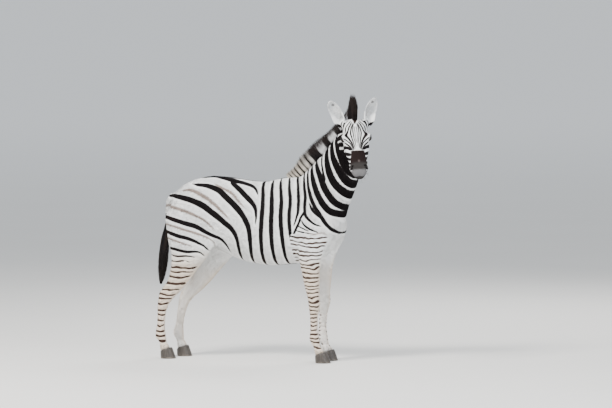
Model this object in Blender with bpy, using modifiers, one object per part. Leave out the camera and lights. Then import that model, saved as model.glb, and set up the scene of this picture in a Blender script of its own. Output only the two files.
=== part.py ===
"""A young plains zebra, standing and looking over its right shoulder, as a life-size model.

Units are metres and +Z is up. The zebra faces +X, its left side is +Y, and the origin is on the
floor under the middle of its bounding box. The flesh is modelled whole, as lofts that a voxel
remesh joins, and then parted with thin cuts. Hair that stands off the body (mane and tail brush),
the eyes and the hooves are solids of their own.
"""

import math

import bmesh
import bpy
from mathutils import Matrix, Vector

# Driving dimensions
HEAD_LENGTH = 0.378
EAR_LENGTH = 0.150
EAR_HALF_WIDTH = 0.0325
EAR_THICKNESS = 0.006
EAR_CURL = 0.012  # how far the tip leans forward
EAR_GRID = (9, 8)  # rows along the ear, columns across it
EAR_WRAP = (150, 55, 15)  # half turn in degrees at the root, above the opening's foot, less at the tip
EAR_WIDEST = 0.45  # share of the ear's length
EYE_RADIUS = 0.0185
GAP = 0.0003  # between neighbouring solids

# Pose of the head
HEAD_YAW = math.radians(-65)
HEAD_PITCH = math.radians(42)
HEAD_ROLL = math.radians(4.5)
POLL = Vector((0.592, -0.088, 1.272))

# Legs: where each stands, as side (+1 left), sideways and forward shifts at the hoof and at the top
FORE_LEGS = {
    "right": {"side": -1, "hoof_shift": 0.0, "top_shift": 0.0},
    "left": {"side": 1, "hoof_shift": -0.020, "top_shift": 0.015},
}
HIND_LEGS = {
    "right": {"side": -1, "hoof_shift": 0.0, "top_shift": 0.0},
    "left": {"side": 1, "hoof_shift": 0.025, "top_shift": 0.100},
}

# Surface making
VOXEL = 0.006
FLESH_TRIANGLES = 4300
HAIR_TRIANGLES = {"mane": 460, "tail_brush": 300}
RING_POINTS = 40
LIMB_POINTS = 28
HAIR_POINTS = 16
HOOF_POINTS = 20
EASE_ROUNDS = 160

# Trunk sections: x, top, bottom, half width, height of the greatest width, roundness of the back
TRUNK = [
    (-0.472, 0.850, 0.700, 0.060, 0.780, 2.0),
    (-0.460, 0.892, 0.665, 0.096, 0.775, 2.0),
    (-0.420, 0.934, 0.645, 0.126, 0.775, 2.0),
    (-0.360, 0.966, 0.632, 0.146, 0.780, 2.0),
    (-0.260, 0.989, 0.610, 0.152, 0.770, 2.0),
    (-0.170, 0.988, 0.572, 0.149, 0.745, 1.9),
    (-0.090, 0.979, 0.538, 0.154, 0.725, 1.9),
    (0.000, 0.967, 0.518, 0.161, 0.710, 1.9),
    (0.080, 0.968, 0.509, 0.160, 0.705, 1.8),
    (0.150, 0.985, 0.512, 0.148, 0.700, 1.6),
    (0.220, 0.996, 0.520, 0.136, 0.700, 1.5),
    (0.300, 0.985, 0.532, 0.127, 0.700, 1.6),
    (0.370, 0.950, 0.550, 0.121, 0.700, 1.8),
    (0.430, 0.890, 0.590, 0.108, 0.710, 2.0),
    (0.468, 0.830, 0.630, 0.096, 0.725, 2.0),
    (0.494, 0.780, 0.668, 0.074, 0.725, 2.0),
    (0.506, 0.755, 0.695, 0.040, 0.725, 2.0),
]

# Neck sections: crest point, throat point, half width, yaw of the section in degrees
NECK = [
    ((0.190, 0.000, 0.945), (0.445, 0.000, 0.640), 0.108, 0),
    ((0.262, 0.000, 1.000), (0.500, 0.000, 0.745), 0.098, 0),
    ((0.312, 0.000, 1.044), (0.530, -0.006, 0.835), 0.084, -8),
    ((0.390, -0.008, 1.118), (0.566, -0.030, 0.915), 0.073, -20),
    ((0.462, -0.030, 1.195), (0.588, -0.050, 0.990), 0.071, -36),
    ((0.528, -0.058, 1.262), (0.580, -0.058, 1.062), 0.064, -52),
    ((0.570, -0.080, 1.296), (0.558, -0.060, 1.130), 0.058, -62),
]

# Head sections: share of the length, top, bottom, half width, as shares of the head's length
HEAD = [
    (-0.02, 0.125, -0.130, 0.142),
    (0.07, 0.168, -0.235, 0.170),
    (0.17, 0.184, -0.292, 0.182),
    (0.28, 0.178, -0.300, 0.190),
    (0.40, 0.146, -0.268, 0.184),
    (0.52, 0.112, -0.224, 0.166),
    (0.64, 0.090, -0.186, 0.147),
    (0.75, 0.078, -0.162, 0.131),
    (0.85, 0.068, -0.152, 0.124),
    (0.91, 0.052, -0.148, 0.114),
    (0.955, 0.024, -0.132, 0.096),
    (0.985, -0.020, -0.100, 0.062),
]

# Leg sections: height, x of the middle, half length, distance from the middle plane, half width
FORE_LEG = [
    (0.820, 0.345, 0.062, 0.070, 0.040),
    (0.740, 0.383, 0.090, 0.082, 0.048),
    (0.660, 0.374, 0.092, 0.091, 0.047),
    (0.600, 0.352, 0.082, 0.096, 0.045),
    (0.545, 0.346, 0.065, 0.097, 0.042),
    (0.490, 0.348, 0.053, 0.096, 0.038),
    (0.420, 0.353, 0.0455, 0.093, 0.034),
    (0.365, 0.360, 0.037, 0.091, 0.031),
    (0.325, 0.366, 0.0345, 0.089, 0.032),
    (0.290, 0.366, 0.031, 0.088, 0.029),
    (0.250, 0.364, 0.0245, 0.087, 0.022),
    (0.180, 0.363, 0.0230, 0.086, 0.019),
    (0.125, 0.367, 0.0300, 0.086, 0.026),
    (0.088, 0.381, 0.0230, 0.086, 0.022),
    (0.058, 0.396, 0.0300, 0.086, 0.028),
    (0.020, 0.404, 0.0320, 0.086, 0.030),
]
HIND_LEG = [
    (0.860, -0.365, 0.070, 0.078, 0.050),
    (0.780, -0.372, 0.114, 0.090, 0.061),
    (0.700, -0.352, 0.128, 0.096, 0.062),
    (0.620, -0.335, 0.130, 0.100, 0.058),
    (0.560, -0.343, 0.108, 0.101, 0.051),
    (0.510, -0.364, 0.087, 0.101, 0.045),
    (0.465, -0.388, 0.073, 0.099, 0.039),
    (0.420, -0.412, 0.063, 0.097, 0.034),
    (0.390, -0.436, 0.061, 0.095, 0.031),
    (0.358, -0.464, 0.058, 0.094, 0.030),
    (0.325, -0.487, 0.044, 0.092, 0.030),
    (0.290, -0.502, 0.033, 0.091, 0.026),
    (0.250, -0.510, 0.027, 0.090, 0.021),
    (0.180, -0.516, 0.0245, 0.089, 0.0195),
    (0.125, -0.518, 0.0310, 0.089, 0.026),
    (0.088, -0.504, 0.0235, 0.089, 0.022),
    (0.058, -0.490, 0.0300, 0.089, 0.028),
    (0.020, -0.483, 0.0320, 0.089, 0.030),
]

# Hoof rings: height at the toe, height at the heel, half length, half width, forward shift
HOOF = [
    (0.062, 0.040, 0.0320, 0.0300, 0.000),
    (0.057, 0.036, 0.0355, 0.0325, 0.001),
    (0.030, 0.019, 0.0405, 0.0355, 0.006),
    (0.004, 0.004, 0.0450, 0.0380, 0.011),
    (0.000, 0.000, 0.0435, 0.0365, 0.011),
]
HOOF_BEHIND = 0.004  # the hoof's middle lies this far behind the leg's last section
HEEL_SHARE = 0.86  # the heel's half length against the toe's

# Tail: the dock's centre line with half widths, then the brush's sections below
DOCK = [
    ((-0.420, 0.0, 0.905), 0.040, 0.036),
    ((-0.463, 0.0, 0.886), 0.031, 0.029),
    ((-0.494, 0.0, 0.850), 0.023, 0.022),
    ((-0.507, 0.0, 0.795), 0.018, 0.017),
    ((-0.511, 0.0, 0.735), 0.015, 0.014),
    ((-0.514, 0.0, 0.685), 0.011, 0.010),
]
BRUSH = [
    ((-0.509, 0.0, 0.775), 0.0190, 0.0180),
    ((-0.514, 0.0, 0.700), 0.0220, 0.0205),
    ((-0.524, 0.0, 0.640), 0.0255, 0.0220),
    ((-0.535, 0.0, 0.550), 0.0260, 0.0215),
    ((-0.542, 0.0, 0.480), 0.0230, 0.0180),
    ((-0.548, 0.0, 0.425), 0.0140, 0.0110),
    ((-0.551, 0.0, 0.392), 0.0050, 0.0040),
]

# Mane: root on the crest, the direction in which the hair stands (x, y, z), height, half width
MANE = [
    ((0.195, 0.000, 0.982), (-0.75, 0.00, 0.66), 0.034, 0.010),
    ((0.255, 0.000, 0.998), (-0.68, 0.00, 0.73), 0.062, 0.013),
    ((0.312, 0.000, 1.040), (-0.68, 0.00, 0.73), 0.090, 0.016),
    ((0.390, -0.008, 1.115), (-0.68, 0.02, 0.73), 0.090, 0.017),
    ((0.462, -0.030, 1.190), (-0.60, 0.15, 0.72), 0.068, 0.017),
    ((0.528, -0.058, 1.254), (-0.52, 0.30, 0.76), 0.068, 0.017),
    ((0.570, -0.080, 1.290), (-0.40, 0.30, 0.84), 0.072, 0.017),
    ((0.584, -0.094, 1.300), (-0.20, 0.13, 0.95), 0.086, 0.017),
    ((0.5935, -0.104, 1.304), (-0.085, 0.015, 1.00), 0.146, 0.018),
    ((0.6055, -0.126, 1.302), (-0.005, -0.065, 1.00), 0.132, 0.016),
    ((0.6155, -0.144, 1.298), (0.08, -0.26, 0.95), 0.060, 0.010),
]
# Eyes, nostrils and ears, in shares of the head's length along, sideways and up from the poll
EYE_AT = (0.345, 0.166, 0.082)
NOSTRIL = {"at": (0.868, 0.124, 0.034), "inward": (-0.5, -0.85), "reach": 0.017, "depth": 0.011}
TEMPLE = {"at": (0.25, 0.155, 0.105), "inward": (0, -1), "reach": 0.030, "depth": 0.005}
EAR_ROOT = (0.030, 0.170, 0.036)
EAR_SPREAD = {-1: 27, 1: 16}  # degrees from upright, right and left
EAR_NOD = 0.12
EAR_TURN = 0.30
UP_IN_ROOM = Vector((0, 0, 1))

TAIL_FREE_FROM = -0.482  # the dock stands off the rump behind this x

# Thin cuts: each blade runs from one point to another, this wide, its width turned this much
CUTS = {
    "neck_base": ((0.186, 0, 1.050), (0.554, 0, 0.710), 0.40, 0),
    "throat": ((0.492, -0.048, 1.334), (0.612, -0.069, 0.966), 0.30, -50),
    "tail_root": ((-0.545, 0, 0.790), (-0.480, 0, 0.790), 0.09, 0),
    "elbows": ((0.185, 0, 0.507), (0.525, 0, 0.507), 0.40, 0),
    "knees": ((0.210, 0, 0.280), (0.510, 0, 0.280), 0.40, 0),
    "stifles": ((-0.530, 0, 0.538), (-0.130, 0, 0.538), 0.44, 0),
    "hocks": ((-0.635, 0, 0.300), (-0.335, 0, 0.300), 0.40, 0),
}

# Finishes: colour and roughness, and which pieces wear each
FINISHES = {
    "striped_coat": ((0.60, 0.58, 0.56), 0.85),
    "leg_coat": ((0.70, 0.64, 0.57), 0.85),
    "ear_coat": ((0.66, 0.64, 0.61), 0.85),
    "mane_hair": ((0.16, 0.13, 0.12), 0.80),
    "tail_hair": ((0.02, 0.018, 0.017), 0.70),
    "hoof_horn": ((0.06, 0.052, 0.047), 0.45),
    "eye_gloss": ((0.012, 0.009, 0.008), 0.08),
}
FINISH_OF = {
    "striped_coat": ("trunk", "neck", "head", "tail_dock"),
    "leg_coat": ("foreleg", "hindleg"),
    "ear_coat": ("ear",),
    "mane_hair": ("mane",),
    "tail_hair": ("tail_brush",),
    "hoof_horn": ("hoof",),
    "eye_gloss": ("eye",),
}


def head_axes():
    """Forward, left and up of the head as unit vectors."""
    level = Vector((math.cos(HEAD_YAW), math.sin(HEAD_YAW), 0))
    across = Vector((-level.y, level.x, 0))
    rise = Vector((0, 0, 1))
    forward = level * math.cos(HEAD_PITCH) - rise * math.sin(HEAD_PITCH)
    up = level * math.sin(HEAD_PITCH) + rise * math.cos(HEAD_PITCH)
    left = across * math.cos(HEAD_ROLL) + up * math.sin(HEAD_ROLL)
    return forward, left, up * math.cos(HEAD_ROLL) - across * math.sin(HEAD_ROLL)


FORWARD, LEFT, UP = head_axes()
HEAD_FRAME = Matrix.Translation(POLL) @ Matrix((FORWARD, LEFT, UP)).transposed().to_4x4()


def on_head(s, left, up):
    """A point of the head's own frame, in shares of the head's length."""
    return POLL + (FORWARD * s + LEFT * left + UP * up) * HEAD_LENGTH


def across_at(yaw_degrees):
    """The level direction to the left of one that turns this much from +X."""
    yaw = math.radians(yaw_degrees)
    return Vector((-math.sin(yaw), math.cos(yaw), 0))


# Sections: each is (middle, left, up, down, roundness), the middle and three half-axis vectors


def smooth_sections(sections, steps):
    """Catmull-Rom between the given sections, so that a loft has no corners along its length."""
    found = []
    last = len(sections) - 1
    for i in range(last):
        four = [sections[max(i - 1, 0)], sections[i], sections[i + 1], sections[min(i + 2, last)]]
        for k in range(steps):
            t = k / steps
            weights = (
                -0.5 * t + t * t - 0.5 * t**3,
                1 - 2.5 * t * t + 1.5 * t**3,
                0.5 * t + 2 * t * t - 1.5 * t**3,
                -0.5 * t * t + 0.5 * t**3,
            )
            mixed = []
            for values in zip(*four):
                total = values[0] * weights[0]
                for value, weight in zip(values[1:], weights[1:]):
                    total = total + value * weight
                mixed.append(total)
            found.append(tuple(mixed))
    found.append(sections[-1])
    return found


def section_ring(bm, section, points):
    middle, left, up, down, roundness = section
    ring = []
    for k in range(points):
        angle = 2 * math.pi * k / points
        c, s = math.cos(angle), math.sin(angle)
        power = 2 / roundness if s > 0 else 1.0
        side = math.copysign(abs(c) ** power, c)
        rise = abs(s) ** power
        ring.append(bm.verts.new(middle + left * side + (up if s > 0 else down) * rise))
    return ring


def loft(name, sections, points=RING_POINTS, steps=6):
    """A closed body through smooth sections, with a fan over each end."""
    bm = bmesh.new()
    rings = [section_ring(bm, s, points) for s in smooth_sections(sections, steps)]
    for low, high in zip(rings, rings[1:]):
        for k in range(points):
            after = (k + 1) % points
            bm.faces.new((low[k], low[after], high[after], high[k]))
    for ring in (rings[0], rings[-1]):
        tip = bm.verts.new(sum((v.co for v in ring), Vector()) / points)
        for k in range(points):
            bm.faces.new((ring[k], ring[(k + 1) % points], tip))
    bmesh.ops.recalc_face_normals(bm, faces=bm.faces)
    return add_object(name, bm)


def add_object(name, bm):
    mesh = bpy.data.meshes.new(name)
    bm.to_mesh(mesh)
    bm.free()
    obj = bpy.data.objects.new(name, mesh)
    PARTS.objects.link(obj)
    return obj


def ellipsoid(name, frame, radii, segments=24):
    """An ellipsoid with its axes along a frame's, given as a 4x4 matrix."""
    bm = bmesh.new()
    bmesh.ops.create_uvsphere(bm, u_segments=segments, v_segments=segments // 2, radius=1)
    bmesh.ops.scale(bm, vec=radii, verts=bm.verts)
    bmesh.ops.transform(bm, matrix=frame, verts=bm.verts)
    return add_object(name, bm)


def head_ellipsoid(name, s, left, up, radii):
    shift = Matrix.Translation(on_head(s, left, up) - POLL)
    return ellipsoid(name, shift @ HEAD_FRAME, [r * HEAD_LENGTH for r in radii])


def join(name, objects):
    """One mesh object that holds all the given ones' shells."""
    bm = bmesh.new()
    for obj in objects:
        bm.from_mesh(obj.data)
        bpy.data.objects.remove(obj)
    return add_object(name, bm)


def applied(obj):
    """The object with its modifiers made part of its mesh."""
    graph = bpy.context.evaluated_depsgraph_get()
    mesh = bpy.data.meshes.new_from_object(obj.evaluated_get(graph))
    obj.modifiers.clear()
    obj.data = mesh
    return obj


def cut(obj, cutter, operation="DIFFERENCE", keep=False):
    boolean = obj.modifiers.new("cut", "BOOLEAN")
    boolean.operation = operation
    boolean.object = cutter
    applied(obj)
    if not keep:
        bpy.data.objects.remove(cutter)
    return obj


def box(name, middle, size, turn=(0, 0, 0)):
    """A box cutter. Turn is in degrees about X, Y and Z."""
    bm = bmesh.new()
    bmesh.ops.create_cube(bm, size=1)
    bmesh.ops.scale(bm, vec=size, verts=bm.verts)
    for axis, degrees in zip("XYZ", turn):
        bmesh.ops.rotate(bm, verts=bm.verts, matrix=Matrix.Rotation(math.radians(degrees), 3, axis))
    bmesh.ops.translate(bm, vec=middle, verts=bm.verts)
    return add_object(name, bm)


def blade(name, start, end, width, yaw):
    """A plate one gap thick between two points, with its width turned by the yaw in degrees."""
    start, end = Vector(start), Vector(end)
    along = (end - start).normalized()
    normal = along.cross(across_at(yaw)).normalized()
    axes = Matrix((along, normal.cross(along), normal)).transposed().to_4x4()
    bm = bmesh.new()
    bmesh.ops.create_cube(bm, size=1)
    bmesh.ops.scale(bm, vec=((end - start).length, width, GAP), verts=bm.verts)
    frame = Matrix.Translation((start + end) / 2) @ axes
    bmesh.ops.transform(bm, matrix=frame, verts=bm.verts)
    return add_object(name, bm)


def grown(obj, by):
    """A copy whose surface lies this much further out, to cut a neighbour with a gap."""
    mesh = obj.data.copy()
    bm = bmesh.new()
    bm.from_mesh(mesh)
    bm.normal_update()
    for vert in bm.verts:
        vert.co += vert.normal * by * vert.calc_shell_factor()
    copy = add_object(obj.name + "_grown", bm)
    bpy.data.meshes.remove(mesh)
    return copy


# Flesh


def trunk_shape():
    sections = [
        (
            Vector((x, 0, wide)),
            Vector((0, half, 0)),
            Vector((0, 0, top - wide)),
            Vector((0, 0, bottom - wide)),
            roundness,
        )
        for x, top, bottom, half, wide, roundness in TRUNK
    ]
    return loft("trunk_loft", sections)


def neck_shape():
    sections = []
    for crest, throat, half, yaw in NECK:
        crest, throat = Vector(crest), Vector(throat)
        middle = crest.lerp(throat, 0.52)
        across = across_at(yaw) * half
        sections.append((middle, across, crest - middle, throat - middle, 1.8))
    return loft("neck_loft", sections)


def head_shapes():
    sections = [
        (
            on_head(s, 0, 0),
            LEFT * half * HEAD_LENGTH,
            UP * top * HEAD_LENGTH,
            UP * bottom * HEAD_LENGTH,
            2.2,
        )
        for s, top, bottom, half in HEAD
    ]
    shapes = [loft("head_loft", sections)]
    for side in (-1, 1):
        shapes += [
            head_ellipsoid("cheek", 0.29, 0.118 * side, -0.120, (0.185, 0.068, 0.135)),
            head_ellipsoid("orbit", 0.335, 0.153 * side, 0.088, (0.095, 0.055, 0.066)),
            head_ellipsoid("nostril_wing", 0.862, 0.088 * side, 0.010, (0.074, 0.050, 0.054)),
            head_ellipsoid("ear_root", 0.035, 0.152 * side, 0.052, (0.075, 0.060, 0.080)),
        ]
    shapes.append(head_ellipsoid("chin", 0.885, 0, -0.125, (0.065, 0.070, 0.048)))
    return shapes


def leg_shape(name, rows, place):
    top, foot = rows[0][0], rows[-1][0]
    sections = []
    for z, x, half_length, away, half_width in rows:
        share = (z - foot) / (top - foot)
        shift = place["hoof_shift"] * (1 - share) + place["top_shift"] * share
        sections.append(
            (
                Vector((x + shift, away * place["side"], z)),
                Vector((0, half_width, 0)),
                Vector((half_length, 0, 0)),
                Vector((-half_length, 0, 0)),
                2.1,
            )
        )
    return loft(name, sections, LIMB_POINTS)


def tube_sections(rows):
    """Sections of a hanging tube: its middle, half length (fore and aft) and half width."""
    return [
        (Vector(p), Vector((0, wide, 0)), Vector((deep, 0, 0)), Vector((-deep, 0, 0)), 2.0)
        for p, deep, wide in rows
    ]


def whole_flesh():
    """Trunk, neck, head, legs and dock as one smooth skin."""
    shapes = [trunk_shape(), neck_shape(), *head_shapes()]
    shapes += [leg_shape(f"fore_{n}", FORE_LEG, p) for n, p in FORE_LEGS.items()]
    shapes += [leg_shape(f"hind_{n}", HIND_LEG, p) for n, p in HIND_LEGS.items()]
    shapes.append(loft("dock_loft", tube_sections(DOCK), LIMB_POINTS))
    flesh = join("flesh", shapes)
    remesh = flesh.modifiers.new("fuse", "REMESH")
    remesh.mode = "VOXEL"
    remesh.voxel_size = VOXEL
    applied(flesh)
    ease_creases(flesh)
    return flesh


def ease_creases(flesh):
    """Rounds the creases between lofts: much on the trunk, little on the head and lower legs."""
    group = flesh.vertex_groups.new(name="soft")
    for vert in flesh.data.vertices:
        along = (vert.co - POLL).dot(FORWARD)
        body = min(max((vert.co.z - 0.40) / 0.20, 0.05), 1)
        body = min(body, max(0.30 + (1.00 - vert.co.z) * 5, 0.30))
        if vert.co.x < TAIL_FREE_FROM:
            body = 0.05
        group.add([vert.index], 0.07 if along > -0.01 else body, "REPLACE")
    ease = flesh.modifiers.new("ease", "SMOOTH")
    ease.factor = 0.5
    ease.iterations = EASE_ROUNDS
    ease.vertex_group = "soft"
    applied(flesh)


def press(flesh, spots):
    """Moves the surface near each spot: (point, direction, reach, depth)."""
    for point, direction, reach, depth in spots:
        for vert in flesh.data.vertices:
            away = (vert.co - point).length / reach
            if away < 1:
                vert.co += direction * depth * (1 - away * away) ** 2


def shape_face(flesh):
    """The nostrils and the hollows above the eyes."""
    spots = []
    for side in (-1, 1):
        for hollow in (NOSTRIL, TEMPLE):
            s, away, up = hollow["at"]
            back, sideways = hollow["inward"]
            inward = (FORWARD * back + LEFT * side * sideways).normalized()
            spots.append((on_head(s, away * side, up), inward, hollow["reach"], hollow["depth"]))
    press(flesh, spots)


# Pieces beside the flesh


def eye(name, side):
    frame = Matrix.Translation(on_head(EYE_AT[0], EYE_AT[1] * side, EYE_AT[2]) - POLL) @ HEAD_FRAME
    return ellipsoid(name, frame, (EYE_RADIUS,) * 3, 16)


def ear(name, side):
    """A cupped leaf: nearly a tube at the root, open towards the front above it."""
    level = Vector((FORWARD.x, FORWARD.y, 0)).normalized()
    spread = math.radians(EAR_SPREAD[side])
    along = UP_IN_ROOM * math.cos(spread) + LEFT * side * math.sin(spread) + level * EAR_NOD
    along.normalize()
    facing = level + LEFT * side * EAR_TURN
    back = (along * facing.dot(along) - facing).normalized()
    across = along.cross(back)
    root = on_head(EAR_ROOT[0], EAR_ROOT[1] * side, EAR_ROOT[2])
    rows, columns = EAR_GRID
    at_root, above, less = EAR_WRAP
    bm = bmesh.new()
    grid = []
    for i in range(rows + 1):
        v = i / rows
        half = EAR_HALF_WIDTH * ear_outline(v)
        wrap = math.radians(at_root - (at_root - above) * min(v / EAR_WIDEST, 1) - less * v)
        radius = half / math.sin(min(wrap, math.pi / 2))
        middle = root + along * (v * EAR_LENGTH) + back * (half / 2 - EAR_CURL * v * v)
        row = []
        for k in range(columns + 1):
            angle = wrap * (2 * k / columns - 1)
            deep = radius * (math.cos(angle) - 1)
            row.append(bm.verts.new(middle + across * (radius * math.sin(angle)) + back * deep))
        grid.append(row)
    for low, high in zip(grid, grid[1:]):
        for k in range(columns):
            bm.faces.new((low[k], low[k + 1], high[k + 1], high[k]))
    obj = add_object(name, bm)
    shell = obj.modifiers.new("shell", "SOLIDIFY")
    shell.thickness = EAR_THICKNESS
    shell.offset = 0
    return applied(obj)


def ear_outline(v):
    """Half width along the ear as a share of the greatest, from the root (0) to the tip (1)."""
    lower = 0.60 + 0.40 * math.sin(min(v / EAR_WIDEST, 1) * math.pi / 2)
    upper = math.sqrt(max(1 - (max(v - EAR_WIDEST, 0) / 0.56) ** 2.2, 0.0))
    return lower * upper


def hair_wall(name, rows):
    """A wall of upright hair along a line of roots: (root, direction, height, half width)."""
    sections = []
    for i, (root, direction, height, half) in enumerate(rows):
        root, direction = Vector(root), Vector(direction).normalized()
        ahead = Vector(rows[min(i + 1, len(rows) - 1)][0]) - Vector(rows[max(i - 1, 0)][0])
        across = direction.cross(ahead).normalized() * -half
        middle = root + direction * height * 0.25
        up = direction * height * 0.75
        sections.append((middle, across, up, direction * -(height * 0.25 + 0.022), 1.7))
    return loft(name, sections, 20, 5)


def hoof(name, place, leg):
    """A horn capsule with a flat sole, its crown sloping down to the heel."""
    bm = bmesh.new()
    rings = []
    middle_x = leg[-1][1] + place["hoof_shift"] - HOOF_BEHIND
    away = leg[-1][3] * place["side"]
    for toe, heel, half_length, half_width, forward in HOOF:
        ring = []
        for k in range(HOOF_POINTS):
            angle = 2 * math.pi * k / HOOF_POINTS
            c, s = math.cos(angle), math.sin(angle)
            back = HEEL_SHARE if c < 0 else 1.0
            x = middle_x + forward + half_length * back * c
            z = heel + (toe - heel) * (c + 1) / 2
            ring.append(bm.verts.new((x, away + half_width * s, z)))
        rings.append(ring)
    for low, high in zip(rings, rings[1:]):
        for k in range(HOOF_POINTS):
            after = (k + 1) % HOOF_POINTS
            bm.faces.new((low[k], low[after], high[after], high[k]))
    bm.faces.new(rings[0])
    bm.faces.new(rings[-1])
    bmesh.ops.recalc_face_normals(bm, faces=bm.faces)
    return add_object(name, bm)


def crown_cutter(name, place, leg):
    """Takes away all of the leg below the sloping crown of its hoof."""
    toe, heel, half_length = HOOF[0][:3]
    middle_x = leg[-1][1] + place["hoof_shift"] - HOOF_BEHIND
    slope = math.degrees(math.atan2(toe - heel, 2 * half_length))
    size = Vector((0.16, 0.09, 0.12))
    tilt = Matrix.Rotation(math.radians(-slope), 3, "Y")
    top = Vector((middle_x, leg[-1][3] * place["side"], (toe + heel) / 2 + GAP))
    return box(name, top - tilt @ Vector((0, 0, size.z / 2)), size, (0, -slope, 0))


def slimmed(obj, triangles):
    """The object with its surface carried by about this many triangles."""
    now = sum(len(p.vertices) - 2 for p in obj.data.polygons)
    if now > triangles:
        thin = obj.modifiers.new("slim", "DECIMATE")
        thin.ratio = triangles / now
        applied(obj)
    return obj


def part_with_thin_cuts(flesh):
    """Cuts the flesh with plates one gap thick and names the loose bodies by a point of each."""
    for name, place in CUTS.items():
        cut(flesh, blade(name, *place))
    bm = bmesh.new()
    bm.from_mesh(flesh.data)
    bpy.data.objects.remove(flesh)
    bodies = loose_bodies(bm)
    found = {}
    for name, point in body_points().items():
        nearest = min(bodies, key=lambda verts: min((v.co - point).length for v in verts))
        found[name] = nearest
    if not len(bodies) == len(found) == len({id(v) for v in found.values()}):
        raise ValueError(f"{len(bodies)} loose bodies for {len(found)} names")
    pieces = {}
    for name, verts in found.items():
        copy = bm.copy()
        copy.verts.ensure_lookup_table()
        kept = {v.index for v in verts}
        unwanted = [v for v in copy.verts if v.index not in kept]
        bmesh.ops.delete(copy, geom=unwanted, context="VERTS")
        pieces[name] = add_object(name, copy)
    bm.free()
    return pieces


def loose_bodies(bm):
    bm.verts.index_update()
    seen, bodies = set(), []
    for start in bm.verts:
        if start.index in seen:
            continue
        body, front = [], [start]
        seen.add(start.index)
        while front:
            vert = front.pop()
            body.append(vert)
            for edge in vert.link_edges:
                other = edge.other_vert(vert)
                if other.index not in seen:
                    seen.add(other.index)
                    front.append(other)
        bodies.append(body)
    return bodies


def body_points():
    """A surface point of each loose body of the flesh."""
    points = {
        "trunk": Vector((0, 0, TRUNK[7][1])),
        "neck": Vector(NECK[3][0]),
        "head": on_head(0.6, 0, 0.1),
        "tail_dock": Vector(DOCK[4][0]),
    }
    for legs, rows, kind in ((FORE_LEGS, FORE_LEG, "foreleg"), (HIND_LEGS, HIND_LEG, "hindleg")):
        for name, place in legs.items():
            for part, row in (("upper", rows[6]), ("lower", rows[-5])):
                z, x, _, away, _ = row
                points[f"{kind}_{part}_{name}"] = Vector((x, away * place["side"], z))
    return points


def build():
    flesh = whole_flesh()
    shape_face(flesh)
    slimmed(flesh, FLESH_TRIANGLES)
    around = grown(flesh, GAP)
    pieces = part_with_thin_cuts(flesh)
    for name, side in (("right", -1), ("left", 1)):
        ball = eye(f"eye_{name}", side)
        cut(pieces["head"], grown(ball, GAP))
        pieces[f"eye_{name}"] = ball
        pieces[f"ear_{name}"] = cut(ear(f"ear_{name}", side), around, keep=True)
    for kind, legs, rows in (("fore", FORE_LEGS, FORE_LEG), ("hind", HIND_LEGS, HIND_LEG)):
        for name, place in legs.items():
            cut(pieces[f"{kind}leg_lower_{name}"], crown_cutter("crown", place, rows))
            pieces[f"hoof_{kind}_{name}"] = hoof(f"hoof_{kind}_{name}", place, rows)
    brush = loft("tail_brush", tube_sections(BRUSH), HAIR_POINTS, 4)
    for hair in (brush, hair_wall("mane", MANE)):
        pieces[hair.name] = cut(slimmed(hair, HAIR_TRIANGLES[hair.name]), around, keep=True)
    bpy.data.objects.remove(around)
    finish(pieces)


def finish(pieces):
    """Gives each piece its material and puts the origin under the middle of the whole."""
    corners = [v.co for obj in pieces.values() for v in obj.data.vertices]
    low = Vector([min(c[i] for c in corners) for i in range(3)])
    high = Vector([max(c[i] for c in corners) for i in range(3)])
    shift = Vector((-(low.x + high.x) / 2, -(low.y + high.y) / 2, -low.z))
    for name, obj in pieces.items():
        obj.name = name
        obj.data.name = name
        triangulated(obj.data)
        obj.data.transform(Matrix.Translation(shift))
        finish_name = next(f for f, starts in FINISH_OF.items() if name.startswith(starts))
        obj.data.materials.clear()
        obj.data.materials.append(material(finish_name))
        obj.data.shade_smooth()
        obj.data.set_sharp_from_angle(angle=math.radians(50))


def triangulated(mesh):
    bm = bmesh.new()
    bm.from_mesh(mesh)
    bmesh.ops.triangulate(bm, faces=bm.faces)
    bm.to_mesh(mesh)
    bm.free()


def material(name):
    """The named finish as a Principled BSDF, made once."""
    if name in bpy.data.materials:
        return bpy.data.materials[name]
    colour, roughness = FINISHES[name]
    made = bpy.data.materials.new(name)
    made.use_nodes = True
    shader = made.node_tree.nodes["Principled BSDF"]
    shader.inputs["Base Color"].default_value = (*colour, 1)
    shader.inputs["Roughness"].default_value = roughness
    shader.inputs["Metallic"].default_value = 0
    made.diffuse_color = (*colour, 1)
    return made


PARTS = bpy.data.collections.new("zebra")


def main():
    for obj in list(bpy.data.objects):
        bpy.data.objects.remove(obj)
    bpy.context.scene.collection.children.link(PARTS)
    build()


main()
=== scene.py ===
import math

import bmesh
import bpy
import numpy as np
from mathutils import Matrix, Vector
from mathutils.bvhtree import BVHTree


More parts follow.
